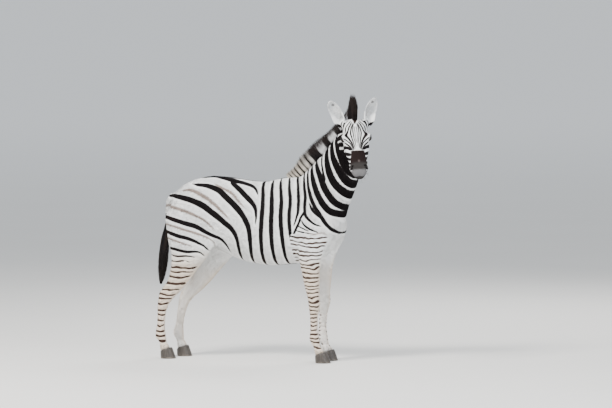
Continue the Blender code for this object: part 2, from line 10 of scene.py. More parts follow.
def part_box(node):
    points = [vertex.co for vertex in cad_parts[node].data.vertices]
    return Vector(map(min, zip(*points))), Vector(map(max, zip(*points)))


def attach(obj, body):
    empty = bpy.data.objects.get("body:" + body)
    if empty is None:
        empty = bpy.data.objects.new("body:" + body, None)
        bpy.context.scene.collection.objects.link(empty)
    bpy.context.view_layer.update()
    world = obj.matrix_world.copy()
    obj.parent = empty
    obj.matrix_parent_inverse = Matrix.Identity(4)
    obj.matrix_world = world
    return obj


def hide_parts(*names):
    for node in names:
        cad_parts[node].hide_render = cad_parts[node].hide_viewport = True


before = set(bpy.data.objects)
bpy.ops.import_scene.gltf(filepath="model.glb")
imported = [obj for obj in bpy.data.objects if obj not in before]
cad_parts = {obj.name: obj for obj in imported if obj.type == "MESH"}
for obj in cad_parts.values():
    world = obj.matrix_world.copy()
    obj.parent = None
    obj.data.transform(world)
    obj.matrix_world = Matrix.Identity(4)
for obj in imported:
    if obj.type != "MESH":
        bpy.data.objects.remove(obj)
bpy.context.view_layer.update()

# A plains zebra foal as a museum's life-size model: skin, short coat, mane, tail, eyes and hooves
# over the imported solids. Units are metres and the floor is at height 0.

print("frame loaded:", len(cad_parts), "solids")

# Places. Markings and landmarks are drawn on the zebra's own plan, whose origin is found again
# from the right fore hoof: its toe and its middle line on that plan
plan = {"toeX": 0.456, "hoofY": -0.086}
hoofLow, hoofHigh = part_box("hoof_fore_right")
home = np.array((hoofHigh.x - plan["toeX"], (hoofLow.y + hoofHigh.y) / 2 - plan["hoofY"], 0.0))

# The head's pose: poll, then degrees, then its length from poll to lips
headPose = {"poll": (0.592, -0.088, 1.272), "yaw": -65, "pitch": 42, "roll": 4.5, "length": 0.378}


def headAxes():
    yaw, pitch, roll = (math.radians(headPose[k]) for k in ("yaw", "pitch", "roll"))
    level = Vector((math.cos(yaw), math.sin(yaw), 0))
    side = Vector((-level.y, level.x, 0))
    forward = level * math.cos(pitch) - Vector((0, 0, math.sin(pitch)))
    up = level * math.sin(pitch) + Vector((0, 0, math.cos(pitch)))
    left = side * math.cos(roll) + up * math.sin(roll)
    return np.array((forward, left, up * math.cos(roll) - side * math.sin(roll)))


axes = headAxes()
forward, left, up = axes
headLength = headPose["length"]
poll = np.array(headPose["poll"]) + home


# A point from its shares of the head's length along, to the left and up from the poll
def onHead(along, toLeft, toUp):
    return poll + np.array((along, toLeft, toUp)) @ axes * headLength


def unit(vectors):
    return vectors / np.maximum(np.linalg.norm(vectors, axis=-1, keepdims=True), 1e-9)


def sizes(vectors):
    return np.linalg.norm(vectors, axis=1)


def dots(first, second):
    return np.einsum("ij,ij->i", first, second)


def towards(value, other, share):
    return value + (other - value) * share


# The rows' values at places between them
def rowsAt(places, rows, steps=None):
    steps = np.arange(len(rows)) if steps is None else steps
    return np.stack([np.interp(places, steps, column) for column in rows.T], 1)


# Each point's share of the way along a straight line, and its distance from that line
def fromLine(points, start, end):
    step = end - start
    share = np.clip((points - start) @ step / (step @ step), 0, 1)
    return share, sizes(points - start - share[:, None] * step)


def smooth(value, low, high):
    share = np.clip((value - low) / (high - low), 0, 1)
    return share * share * (3 - 2 * share)


def placed(name, data):
    made = bpy.data.objects.new(name, data)
    bpy.context.scene.collection.objects.link(made)
    return made


def objectFrom(bm, name):
    mesh = bpy.data.meshes.new(name)
    bm.to_mesh(mesh)
    bm.free()
    return placed(name, mesh)


def applied(made):
    graph = bpy.context.evaluated_depsgraph_get()
    mesh = bpy.data.meshes.new_from_object(made.evaluated_get(graph))
    made.modifiers.clear()
    made.data = mesh


def remeshed(made, voxel):
    remesh = made.modifiers.new("remesh", "REMESH")
    remesh.mode = "VOXEL"
    remesh.voxel_size = voxel
    applied(made)


# One change to a mesh, which is left with triangles only
def reworked(made, change):
    bm = bmesh.new()
    bm.from_mesh(made.data)
    bm.verts.index_update()
    change(bm)
    bmesh.ops.triangulate(bm, faces=bm.faces)
    bm.to_mesh(made.data)
    bm.free()


def halve(bm, tooLong):
    chosen = [edge for edge in bm.edges if tooLong(edge.calc_length(), *(v.index for v in edge.verts))]
    bmesh.ops.subdivide_edges(bm, edges=chosen, cuts=1)


def read(items, name, width, kind=np.float32):
    values = np.zeros(len(items) * width, kind)
    items.foreach_get(name, values)
    return values.reshape(-1, width) if width > 1 else values


def pointsOf(made):
    return read(made.data.vertices, "co", 3).astype(float)


def setPoints(made, points):
    made.data.vertices.foreach_set("co", points.astype(np.float32).ravel())
    made.data.update()


def normalsOf(made):
    return read(made.data.vertex_normals, "vector", 3).astype(float)


def addMark(made, name, values):
    kind = "FLOAT" if values.ndim == 1 else "FLOAT_VECTOR"
    mark = made.data.attributes.new(name, kind, "POINT")
    mark.data.foreach_set("value" if values.ndim == 1 else "vector", values.astype(np.float32).ravel())


# A mesh's edges, along which each point's values can move towards the mean of its neighbours' values
class Net:
    def __init__(self, made):
        ends = read(made.data.edges, "vertices", 2, np.int32)
        self.start = np.concatenate((ends[:, 0], ends[:, 1]))
        self.end = np.concatenate((ends[:, 1], ends[:, 0]))
        self.size = len(made.data.vertices)
        self.count = np.maximum(np.bincount(self.start, minlength=self.size), 1)[:, None]

    def mean(self, values):
        columns = [np.bincount(self.start, column[self.end], self.size) for column in values.T]
        return np.stack(columns, 1) / self.count

    def relaxed(self, values, share, rounds):
        for _ in range(rounds):
            values = towards(values, self.mean(values), share)
        return values

    # As relaxed, but what it takes off round forms is given back
    def eased(self, values, share, rounds):
        once = self.relaxed(values, share, rounds)
        return 2 * once - self.relaxed(once, share, rounds)


# The skin: one surface for trunk, neck, head, ears, dock and legs, from their solids
skinPlan = {
    "voxel": 0.003,
    "swell": 0.0007,  # closes the thin cuts between the solids
    "bodyRounds": 90,
    "faceRounds": 12,
    "triangles": 64000,
    # Edges beside the edges of marks are split when longer than this, round by round, down to the finest
    "longest": (0.028, 0.018, 0.012, 0.009, 0.0, 0.0),
    "finest": {"body": 0.0071, "leg": 0.0064, "face": 0.0032},
    "beside": 0.85,  # how near a mark, as a share of an edge's length
    "lidEdge": 0.0013,
    "nostrilEdge": 0.0020,
    "depth": {"body": 0.0030, "leg": 0.0018, "face": 0.0016, "ear": 0.0007, "dock": 0.0012},
}
sides = ("left", "right")
legNames = [f"{kind}leg_{part}_{side}" for kind in ("fore", "hind") for part in ("upper", "lower")
            for side in sides]
hoofNames = [f"hoof_{kind}_{side}" for kind in ("fore", "hind") for side in sides]
fleshNames = ["trunk", "neck", "head", "tail_dock", "ear_left", "ear_right", *legNames]


def copyOf(name):
    bm = bmesh.new()
    bm.from_mesh(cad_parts[name].data)
    bmesh.ops.remove_doubles(bm, verts=bm.verts, dist=1e-5)
    return bm


def joinedFlesh():
    whole = bmesh.new()
    for name in [*fleshNames, "eye_left", "eye_right"]:  # the lids are shaped over the balls
        bm = copyOf(name)
        bm.normal_update()
        for vert in bm.verts:
            vert.co += vert.normal * skinPlan["swell"] * min(vert.calc_shell_factor(), 2)
        mesh = bpy.data.meshes.new(name + "_copy")
        bm.to_mesh(mesh)
        bm.free()
        whole.from_mesh(mesh)
        bpy.data.meshes.remove(mesh)
    return objectFrom(whole, "zebra_skin")


def near(name, points, reach):
    bm = copyOf(name)
    tree = BVHTree.FromBMesh(bm)
    bm.free()
    low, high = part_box(name)
    inside = np.all((points > np.array(low) - reach) & (points < np.array(high) + reach), axis=1)
    found = np.zeros(len(points))
    for i in np.nonzero(inside)[0]:
        distance = tree.find_nearest(points[i], reach)[3]
        if distance is not None:
            found[i] = 1 - distance / reach
    return found


faceAxis = 0.03  # how far below the line from poll to lips the degrees on the face are taken
headPlane = {"start": (0.492, -0.048, 1.334), "end": (0.612, -0.069, 0.966), "yaw": -50}
# The dock lies behind and above the first two; its end is black and hidden in the brush
dockPlan = {"ahead": -0.482, "low": 0.66, "end": -0.488, "black": 0.772, "hidden": 0.768}
legTop = 0.52  # the top of the legs' part of the unwrap

# The neck's line from withers to poll: crest point, throat point, and the way it faces in degrees
neckLine = [
    ((0.190, 0.000, 0.945), (0.445, 0.000, 0.640), 0),
    ((0.262, 0.000, 1.000), (0.500, 0.000, 0.745), 0),
    ((0.312, 0.000, 1.044), (0.530, -0.006, 0.835), -8),
    ((0.390, -0.008, 1.118), (0.566, -0.030, 0.915), -20),
    ((0.462, -0.030, 1.195), (0.588, -0.050, 0.990), -36),
    ((0.528, -0.058, 1.262), (0.580, -0.058, 1.062), -52),
    ((0.570, -0.080, 1.296), (0.558, -0.060, 1.130), -62),
]
crest = np.array([row[0] for row in neckLine])
throat = np.array([row[1] for row in neckLine])
facing = np.array([(math.cos(math.radians(r[2])), math.sin(math.radians(r[2])), 0) for r in neckLine])
toSide = np.stack((-facing[:, 1], facing[:, 0], facing[:, 2]), 1)


# The crest as it would run with the neck held straight ahead
def straightCrest():
    line = [crest[0, [0, 2]]]
    for i in range(1, len(crest)):
        step = crest[i] - crest[i - 1]
        line.append(line[-1] + (step @ unit(facing[i] + facing[i - 1]), step[2]))
    return np.array(line)


straight = straightCrest()

# Where each point lies on the side drawing: length, height, distance from the middle plane, and
# how far up the neck. The bent neck is laid straight; the trunk is drawn as it stands
def onDrawing(points):
    local = points - home
    planes = unit(np.cross(crest - throat, toSide))
    planes *= np.sign(dots(planes, facing))[:, None]
    ahead = np.stack([(local - throat[i]) @ planes[i] for i in range(len(crest))], 1)
    last = len(crest) - 1
    along = np.where(ahead[:, 0] < 0, 0.0, float(last))
    for i in range(last - 1, -1, -1):
        between = (ahead[:, i] >= 0) & (ahead[:, i + 1] < 0)
        share = ahead[:, i] / np.where(between, ahead[:, i] - ahead[:, i + 1], 1)
        along = np.where(between, i + share, along)
    faces = unit(rowsAt(along, facing))
    away = local - rowsAt(along, crest)
    laid = rowsAt(along, straight)
    x = laid[:, 0] + dots(away, faces)
    z = laid[:, 1] + away[:, 2]
    y = away[:, 1] * faces[:, 0] - away[:, 0] * faces[:, 1]
    return x, z, y, along


# The same for the head: share of its length, degrees round it from the forehead's middle line, and
# shares of its length to the left and up
def onFace(points):
    along, toLeft, toUp = ((points - poll) @ axes.T / headLength).T
    return along, np.degrees(np.arctan2(toLeft, toUp + faceAxis)), toLeft, toUp


# Metres ahead of the plane that parts the head from the neck
def headSide(points):
    start, end = np.array(headPlane["start"]), np.array(headPlane["end"])
    turn = math.radians(headPlane["yaw"])
    normal = np.cross(end - start, (-math.sin(turn), math.cos(turn), 0))
    normal *= np.sign(normal @ forward)
    return (points - home - start) @ normal / np.linalg.norm(normal)


def onDock(local, ahead=dockPlan["ahead"]):
    return (local[:, 0] < ahead) & (local[:, 2] > dockPlan["low"])


def buildSkin():
    skin = joinedFlesh()
    remeshed(skin, skinPlan["voxel"])
    points = pointsOf(skin)
    ears = np.maximum(near("ear_left", points, 0.008), near("ear_right", points, 0.008))
    face = smooth(headSide(points), -0.03, 0.01)
    local = points - home
    dock = onDock(local)
    leg = 1 - smooth(local[:, 2], 0.42, 0.62)
    body = np.clip(1 - face, 0, 1) * (1 - 0.9 * leg) * np.where(dock, 0.1, 1)
    net = Net(skin)
    points = net.eased(points, 0.5 * (1 - ears[:, None]) + 0.1, skinPlan["faceRounds"])
    points = net.eased(points, 0.5 * body[:, None], skinPlan["bodyRounds"])
    setPoints(skin, points)
    depth = skinPlan["depth"]
    deep = towards(depth["body"], depth["leg"], leg)
    deep = towards(deep, depth["face"], face)
    deep = towards(deep, depth["ear"], smooth(ears, 0, 0.4))
    deep = np.where(dock, depth["dock"], deep)
    points = points - normalsOf(skin) * (deep + skinPlan["swell"])[:, None]
    setPoints(skin, points)
    return skin, ears


skin, earShare = buildSkin()
print("skin joined:", len(skin.data.vertices), "points")

# The eyes: place, the way they look, and how many degrees the opening of the lids reaches from its middle
eyePlan = {
    "at": (0.345, 0.166, 0.082),
    "radius": 0.0185,
    "gap": 0.0002,  # the ball is this much smaller
    "look": (0.34, 0.90, 0.16),
    "tilt": 12,
    "long": 54,
    "upper": 29,
    "lower": 25,
}
# Sculpting. Each press is a place on the head, a direction there (along, out, up), a reach and a depth
facePresses = [
    ((0.862, 0.130, 0.030), (0.2, 0.95, 0.1), 0.0160, 0.0062),  # wing outside the nostril
    ((0.884, 0.104, 0.036), (-0.50, -0.70, -0.35), 0.0115, 0.0125),  # nostril, its open end
    ((0.864, 0.086, 0.056), (-0.40, -0.50, -0.70), 0.0078, 0.0080),  # and its upper corner
    ((0.912, 0.100, 0.000), (0.6, 0.6, 0.1), 0.0120, 0.0022),  # wing below it
    ((0.905, 0.062, 0.044), (0.6, 0.1, 0.7), 0.0120, 0.0016),  # wing towards the middle
    ((0.985, 0.000, -0.066), (-1, 0, 0), 0.0140, 0.0014),  # between the lips
    ((0.955, 0.045, -0.040), (1, 0.2, 0), 0.0180, 0.0016),  # upper lip
    ((0.930, 0.040, -0.120), (0.6, 0.1, -0.7), 0.0180, 0.0022),  # chin
    ((0.215, 0.160, 0.125), (0, -1, -0.3), 0.0240, 0.0040),  # hollow over the eye
    ((0.480, 0.150, 0.030), (0, 1, 0.2), 0.0300, 0.0028),  # end of the cheek's crest
    ((0.640, 0.130, 0.000), (0, -1, 0), 0.0420, 0.0035),  # behind the nostril
    ((0.730, 0.125, -0.070), (0, 1, 0), 0.0300, 0.0020),  # corner of the lips
    ((0.200, 0.180, -0.150), (0, 1, 0), 0.0500, 0.0020),  # round of the cheek
]
# The dark holes of a nostril, each with its reach, and the pale rim outside the first; the dark in the holes
# is bare skin and painted shade
nostrils = ((0.884, 0.104, 0.036), 0.0098), ((0.864, 0.086, 0.056), 0.0062)
rimAway = 0.0125
# The seam of the lips, pressed in and painted dark, as bare skin and as painted shade in the crease
mouthLine = [(0.985, 0.000, -0.052), (0.972, 0.045, -0.052), (0.940, 0.080, -0.056), (0.885, 0.104, -0.068),
             (0.815, 0.116, -0.078)]
lipPress = {"from": (0.88, 0, -0.07), "reach": 0.0055, "depth": 0.0009}


def press(points, spot, direction, reach, depth):
    away = sizes(points - spot) / reach
    close = away < 1
    points[close] += direction * (depth * (1 - away[close] ** 2) ** 2)[:, None]


# A place on the head, on its left side for 1 and its right side for -1
def sided(place, side):
    return onHead(place[0], place[1] * side, place[2])


def eyeFrame(side):
    centre = sided(eyePlan["at"], side)
    out = unit(np.array(eyePlan["look"]) * (1, side, 1) @ axes)
    tilt = math.radians(eyePlan["tilt"])
    level = forward * math.cos(tilt) - up * math.sin(tilt)
    level = unit(level - out * (level @ out))
    return centre, out, level, np.cross(level, out) * side


# How far out from an eye's middle each point lies: as a share of the opening between the lids, in
# degrees beyond its edge, and as a distance and a vector from the ball's centre
def lidShare(points, side):
    centre, out, level, rise = eyeFrame(side)
    away = points - centre
    distance = sizes(away)
    ray = away / np.maximum(distance, 1e-6)[:, None]
    angle = np.degrees(np.arccos(np.clip(ray @ out, -1, 1)))
    turn = np.arctan2(ray @ rise, ray @ level)
    tall = np.where(ray @ rise > 0, eyePlan["upper"], eyePlan["lower"])
    edge = 1 / np.hypot(np.cos(turn) / eyePlan["long"], np.sin(turn) / tall)
    return angle / edge, angle - edge, distance, away


def onSurface(points, spot):
    return points[np.argmin(((points - spot) ** 2).sum(1))].copy()


def sculptFace(points):
    for side in (-1, 1):
        for spot, way, reach, depth in facePresses:
            direction = unit(np.array(way) * (1, side, 1) @ axes)
            press(points, onSurface(points, sided(spot, side)), direction, reach, depth)
        corners = [sided(spot, side) for spot in mouthLine]
        for first, second in zip(corners, corners[1:]):
            for share in np.arange(0, 1, 0.25):
                spot = onSurface(points, towards(first, second, share))
                inward = unit(onHead(*lipPress["from"]) - spot)
                press(points, spot, inward, lipPress["reach"], lipPress["depth"])


points = pointsOf(skin)
sculptFace(points)
setPoints(skin, points)


# Fewer triangles on the body than on the face and ears, but of an even size
def thin(skin):
    points = pointsOf(skin)
    fine = (headSide(points) > 0.01) | (earShare > 0)
    group = skin.vertex_groups.new(name="coarse")
    for value, chosen in ((1.0, ~fine), (0.30, fine)):
        group.add(np.nonzero(chosen)[0].tolist(), value, "REPLACE")
    decimate = skin.modifiers.new("thin", "DECIMATE")
    decimate.ratio = skinPlan["triangles"] / (2 * len(skin.data.polygons))
    decimate.vertex_group = group.name
    applied(skin)
    skin.vertex_groups.clear()
    reworked(skin, lambda bm: None)
    skin.data.shade_smooth()


# Smaller faces beside the edges of the markings, so that these stay crisp
def splitAtMarks(skin):
    finest = skinPlan["finest"]
    for longest in skinPlan["longest"]:
        points = pointsOf(skin)
        closest = np.abs(marksAt(points, normalsOf(skin))["marks"]).min(1) / 1000
        limit = np.where(points[:, 2] < legTop, finest["leg"], finest["body"])
        limit = np.maximum(np.where(headSide(points) > 0, finest["face"], limit), longest)

        def tooLong(size, a, b):
            beside = closest[a] + closest[b] < size * skinPlan["beside"]
            return size > min(limit[a], limit[b]) and beside or size > skinPlan["longest"][0]

        reworked(skin, lambda bm: halve(bm, tooLong))


# Eyelids: the skin is drawn over the ball with a thick rim. Crease, fold and bag each have a height, and
# their middle and width in degrees beyond the rim
lidPlan = {"thick": 0.0021, "crease": (0.0016, 17, 4), "fold": (0.0012, 27, 7), "bag": (0.0007, 15, 4)}


def ridge(beyond, height, middle, width):
    return height * np.exp(-((beyond - middle) / width) ** 2)


def splitAtLids(bm):
    for _ in range(4):
        places = np.array([v.co for v in bm.verts])
        reach = np.full(len(places), 1.0)
        for side in (-1, 1):
            _, beyond, distance, _ = lidShare(places, side)
            reach = np.where((beyond < 45) & (distance < 0.034), skinPlan["lidEdge"], reach)
            for at, size in nostrils:
                spot = onSurface(places, sided(at, side))
                reach = np.where(sizes(places - spot) < size * 1.5, skinPlan["nostrilEdge"], reach)
        bm.verts.index_update()
        halve(bm, lambda size, a, b: size > max(reach[a], reach[b]))
        bmesh.ops.triangulate(bm, faces=bm.faces)


def shapeLids(skin):
    reworked(skin, splitAtLids)
    points = pointsOf(skin)
    radius = eyePlan["radius"]
    for side in (-1, 1):
        share, beyond, distance, away = lidShare(points, side)
        above = smooth(away @ eyeFrame(side)[3], -0.003, 0.006)
        lid = radius + lidPlan["thick"] - ridge(beyond, *lidPlan["crease"]) * above
        lid = lid + ridge(beyond, *lidPlan["fold"]) * above - ridge(beyond, *lidPlan["bag"])
        lid = np.where(share < 1.04, radius * 0.82, lid)
        wanted = towards(lid, distance, smooth(beyond, 28, 72))
        close = (distance < radius * 2.4) & (beyond < 72)
        ray = away / np.maximum(distance, 1e-6)[:, None]
        points[close] = (points - away + ray * wanted[:, None])[close]
    setPoints(skin, points)


thin(skin)
shapeLids(skin)
print("skin thinned:", len(skin.data.polygons), "triangles")

# Markings. Strokes on the side drawing, in metres on the zebra's plan: the points of the middle line, then
# the widths at its start, middle and end in millimetres. First the shoulder and flank
darkStrokes = [
    ([(0.050, 0.985), (0.085, 0.850), (0.085, 0.655), (0.072, 0.500)], (14, 25, 16)),
    ([(0.104, 0.985), (0.133, 0.847), (0.142, 0.656), (0.138, 0.500)], (13, 26, 14)),
    ([(0.148, 0.990), (0.181, 0.868), (0.187, 0.784), (0.200, 0.657), (0.202, 0.500)], (12, 24, 12)),
    ([(0.195, 1.000), (0.229, 0.869), (0.233, 0.785), (0.248, 0.657), (0.264, 0.520)], (12, 22, 9)),
    ([(0.238, 1.005), (0.266, 0.927), (0.280, 0.828), (0.272, 0.767), (0.259, 0.722)], (11, 20, 4)),
    ([(0.283, 1.030), (0.300, 0.949), (0.314, 0.889), (0.316, 0.828), (0.326, 0.785), (0.370, 0.750),
      (0.425, 0.730)], (10, 20, 6)),
    ([(0.320, 0.812), (0.299, 0.780), (0.285, 0.738), (0.262, 0.684), (0.258, 0.630)], (14, 13, 10)),
    ([(0.306, 1.050), (0.318, 0.991), (0.332, 0.929), (0.359, 0.858), (0.411, 0.782), (0.451, 0.733),
      (0.485, 0.703), (0.520, 0.686)], (11, 21, 15)),
    ([(0.336, 0.860), (0.362, 0.817), (0.410, 0.773)], (3, 15, 4)),
    ([(0.301, 0.765), (0.319, 0.738), (0.356, 0.716), (0.409, 0.698)], (6, 12, 4)),
    ([(0.284, 0.732), (0.306, 0.722), (0.330, 0.712), (0.352, 0.706)], (6, 8, 3)),
    ([(0.276, 0.706), (0.304, 0.700), (0.336, 0.694), (0.368, 0.690)], (6, 8, 3)),
    # Neck
    ([(0.329, 1.060), (0.360, 0.972), (0.390, 0.898), (0.423, 0.842), (0.460, 0.808), (0.540, 0.786)],
     (16, 38, 38)),
    ([(0.354, 1.085), (0.407, 0.994), (0.441, 0.920), (0.483, 0.858), (0.560, 0.806)], (18, 41, 34)),
    ([(0.392, 1.120), (0.417, 1.050), (0.440, 0.975)], (14, 14, 16)),
    ([(0.430, 1.165), (0.455, 1.069), (0.476, 1.000), (0.510, 0.940), (0.580, 0.870)], (32, 47, 46)),
    ([(0.469, 1.205), (0.503, 1.104), (0.529, 1.035), (0.556, 0.970), (0.600, 0.920)], (32, 42, 34)),
    ([(0.506, 1.240), (0.538, 1.135), (0.557, 1.060), (0.576, 1.005), (0.610, 0.965)], (28, 27, 20)),
    ([(0.540, 1.275), (0.566, 1.180), (0.580, 1.100), (0.596, 1.045)], (27, 24, 18)),
    ([(0.572, 1.305), (0.590, 1.220), (0.600, 1.150)], (25, 22, 16)),
    # Haunch
    ([(-0.330, 0.975), (-0.225, 0.987), (-0.130, 0.968), (-0.045, 0.951), (0.020, 0.930), (0.056, 0.885)],
     (9, 18, 9)),
    ([(-0.128, 0.962), (-0.073, 0.928), (-0.012, 0.882), (0.039, 0.837), (0.056, 0.790), (0.053, 0.730)],
     (16, 27, 3)),
    ([(-0.345, 0.945), (-0.245, 0.936), (-0.180, 0.916), (-0.136, 0.885), (-0.072, 0.836), (-0.017, 0.780),
      (0.018, 0.711), (0.021, 0.616), (0.004, 0.505)], (12, 33, 14)),
    ([(-0.520, 0.875), (-0.442, 0.878), (-0.349, 0.866), (-0.263, 0.838), (-0.187, 0.789), (-0.123, 0.742),
      (-0.074, 0.700), (-0.052, 0.639), (-0.058, 0.520)], (13, 34, 13)),
    ([(-0.540, 0.778), (-0.468, 0.766), (-0.358, 0.738), (-0.286, 0.717), (-0.219, 0.680), (-0.156, 0.654),
      (-0.124, 0.618), (-0.111, 0.570)], (14, 26, 8)),
    ([(-0.540, 0.692), (-0.472, 0.687), (-0.390, 0.667), (-0.308, 0.647), (-0.250, 0.617), (-0.220, 0.585)],
     (13, 22, 6)),
    ([(-0.500, 0.610), (-0.421, 0.596), (-0.346, 0.583), (-0.274, 0.582), (-0.244, 0.556)], (11, 17, 5)),
    ([(-0.450, 0.566), (-0.400, 0.556), (-0.340, 0.560), (-0.290, 0.552)], (7, 10, 4)),
    ([(-0.470, 0.536), (-0.420, 0.526), (-0.360, 0.533), (-0.310, 0.520)], (9, 11, 4)),
]
shadowStrokes = [
    ([(-0.401, 0.909), (-0.327, 0.911), (-0.243, 0.878), (-0.178, 0.834), (-0.092, 0.760)], (9, 20, 6)),
    ([(-0.540, 0.824), (-0.480, 0.826), (-0.402, 0.815), (-0.311, 0.787), (-0.236, 0.752), (-0.176, 0.694)],
     (9, 18, 6)),
    ([(-0.211, 0.949), (-0.158, 0.926), (-0.095, 0.898), (-0.058, 0.865), (-0.009, 0.820)], (7, 14, 5)),
    ([(-0.520, 0.734), (-0.464, 0.729), (-0.358, 0.703), (-0.263, 0.675), (-0.205, 0.640), (-0.204, 0.600)],
     (7, 13, 5)),
    ([(-0.520, 0.655), (-0.461, 0.653), (-0.379, 0.633), (-0.298, 0.610)], (6, 11, 4)),
    ([(0.330, 0.700), (0.380, 0.690), (0.430, 0.700), (0.455, 0.680)], (4, 8, 3)),
]

# Strokes on the face: share of the head's length and degrees from the forehead's middle, on both sides
faceStrokes = [
    ([(0.20, 3), (0.27, 4), (0.34, 4.5), (0.42, 3.5), (0.48, 3)], (3.0, 3.6, 3.0)),
    ([(0.13, 4), (0.21, 9.5), (0.30, 12), (0.39, 11.5), (0.46, 8.5), (0.54, 5.5)], (4.0, 5.2, 3.8)),
    ([(0.12, 8), (0.19, 13.5), (0.29, 21), (0.36, 21.5), (0.45, 18), (0.575, 11)], (4.5, 7.0, 3.8)),
    ([(0.09, 12), (0.145, 19), (0.23, 29), (0.315, 38.5), (0.345, 39), (0.41, 32), (0.475, 25), (0.585, 17)],
     (5.5, 11, 5)),
    ([(0.06, 16), (0.11, 26), (0.16, 40), (0.24, 53), (0.305, 60)], (6, 10, 7)),
    ([(0.03, 26), (0.07, 43), (0.13, 60), (0.22, 68), (0.28, 72)], (6, 10, 6)),
    ([(0.02, 46), (0.07, 62), (0.12, 74), (0.19, 82)], (7, 10, 6)),
    ([(0.375, 51), (0.42, 43), (0.485, 32), (0.59, 22.5)], (5, 7.5, 4.5)),
    ([(0.395, 63), (0.45, 52.5), (0.515, 39), (0.592, 28)], (5.5, 8.5, 5)),
    ([(0.25, 158), (0.32, 126), (0.40, 96), (0.465, 72), (0.525, 51), (0.580, 34)], (12, 20, 15)),
    ([(0.33, 162), (0.41, 128), (0.495, 100), (0.56, 82), (0.615, 62), (0.655, 44)], (12, 21, 19)),
    ([(0.43, 164), (0.51, 130), (0.585, 104), (0.645, 86), (0.697, 68), (0.730, 50)], (11, 19, 17)),
    ([(0.52, 165), (0.60, 132), (0.67, 106), (0.725, 88), (0.768, 72), (0.800, 57)], (10, 16, 13)),
    ([(0.61, 165), (0.69, 130), (0.75, 106), (0.80, 92)], (8, 10, 7)),
    ([(0.175, 155), (0.245, 122), (0.32, 98), (0.380, 82)], (13, 22, 11)),
    ([(0.09, 152), (0.16, 120), (0.235, 98), (0.290, 86)], (13, 23, 12)),
    ([(0.005, 146), (0.08, 116), (0.15, 98), (0.205, 87)], (14, 23, 12)),
    ([(-0.07, 132), (-0.01, 112), (0.06, 95), (0.125, 84)], (14, 21, 11)),
    ([(-0.09, 100), (-0.03, 86), (0.03, 74), (0.07, 68)], (13, 16, 10)),
]
faceRound = 0.065  # metres for a radian round the head
noMark = -0.03  # depths are metres inside a mark's edge, and this is well outside


def curveThrough(points, steps):
    points = np.array(points, float)
    padded = np.vstack((2 * points[0] - points[1], points, 2 * points[-1] - points[-2]))
    found = []
    for a, b, c, d in zip(padded, padded[1:], padded[2:], padded[3:]):
        for t in np.arange(steps) / steps:
            found.append(b + 0.5 * t * (c - a + t * (2 * a - 5 * b + 4 * c - d + t * (3 * (b - c) + d - a))))
    found.append(points[-1])
    return np.array(found)


def runAlong(line):
    return np.concatenate(([0], np.cumsum(sizes(np.diff(line, axis=0)))))


# How far inside the nearest stroke's edge each place lies, in metres
def strokeDepth(places, strokes):
    depth = np.full(len(places), noMark)
    for points, widths in strokes:
        line = curveThrough(points, 8)
        run = runAlong(line)
        share = run / run[-1]
        begin, middle, end = (w / 2000 for w in widths)
        taper = np.clip(np.minimum(share, 1 - share) / 0.06, 0.25, 1)
        half = np.where(share < 0.45, towards(begin, middle, np.sin(share / 0.45 * math.pi / 2)),
                        towards(end, middle, np.cos((share - 0.45) / 0.55 * math.pi / 2))) * taper
        low, high = line.min(0) - 0.045, line.max(0) + 0.045
        chosen = np.nonzero(np.all((places > low) & (places < high), axis=1))[0]
        here = places[chosen]
        best = np.full(len(chosen), noMark)
        for i in range(len(line) - 1):
            t, away = fromLine(here, line[i], line[i + 1])
            best = np.maximum(best, towards(half[i], half[i + 1], t) - away)
        depth[chosen] = np.maximum(depth[chosen], best)
    return depth


# Slow waves, different for each seed, to bend what would look ruled
def waves(places, size, seed):
    turns = np.random.default_rng(seed)
    total = np.zeros(len(places))
    for _ in range(5):
        way = unit(turns.normal(size=places.shape[1])) / size * turns.uniform(0.6, 1.6)
        total += np.sin(places @ way * 2 * math.pi + turns.uniform(0, 6.3))
    return total / 5


# The legs' middle lines as height and length, how far out they stand, and their rings: the highest and the
# lowest, the space between them, and the least and the most half width
legPlan = {
    "fore": {
        "rows": [(0.66, 0.374), (0.545, 0.346), (0.42, 0.353), (0.325, 0.366), (0.18, 0.363), (0.09, 0.381),
                 (0.03, 0.402)],
        "away": 0.090,
        "bands": (0.672, 0.07, 0.0235),
        "half": (0.0042, 0.0060),
    },
    "hind": {
        "rows": [(0.62, -0.335), (0.51, -0.364), (0.42, -0.412), (0.358, -0.464), (0.29, -0.502),
                 (0.18, -0.516), (0.09, -0.504), (0.03, -0.484)],
        "away": 0.094,
        "bands": (0.500, 0.07, 0.0290),
        "half": (0.0055, 0.0078),
    },
}


def aheadOfLeg(local, kind):
    rows = np.array(legPlan[kind]["rows"])[::-1]
    return local[:, 0] - np.interp(local[:, 2], rows[:, 0], rows[:, 1])


# Broken rings round the legs, strongest behind and outside, nearly gone on the inner sides
def legBands(local, kind, seed):
    leg = legPlan[kind]
    behind = -aheadOfLeg(local, kind) / 0.045
    outside = (np.abs(local[:, 1]) - leg["away"]) / 0.030
    share = np.clip(0.5 + 0.30 * behind + 0.42 * outside, 0, 1)
    height = local[:, 2] + 0.009 * waves(local, 0.10, seed) + 0.004 * waves(local, 0.04, seed + 2)
    height = height + 0.004 * outside - 0.003 * np.abs(behind)
    top, bottom, pitch = leg["bands"]
    depth = np.full(len(local), noMark)
    turns = np.random.default_rng(seed)
    z = top
    while z > bottom:
        half = turns.uniform(*leg["half"])
        depth = np.maximum(depth, half - np.abs(height - z))
        z -= pitch * turns.uniform(0.8, 1.2)
    fade = smooth(share, 0.10, 0.50)
    return depth - (1 - fade) * 0.008 - 0.0010 * (1 + waves(local, 0.03, seed + 1))


def bend(local, size, seed, reach):
    return np.stack((waves(local, size, seed), waves(local, size, seed + 1)), 1) * reach


# Half widths of the lines along the back and the belly, how far the left side's stripes stray from the
# right side's, and how rough the edges of all are
bodyPlan = {"spine": 0.009, "belly": 0.010, "stray": 0.014, "rough": 0.0012}


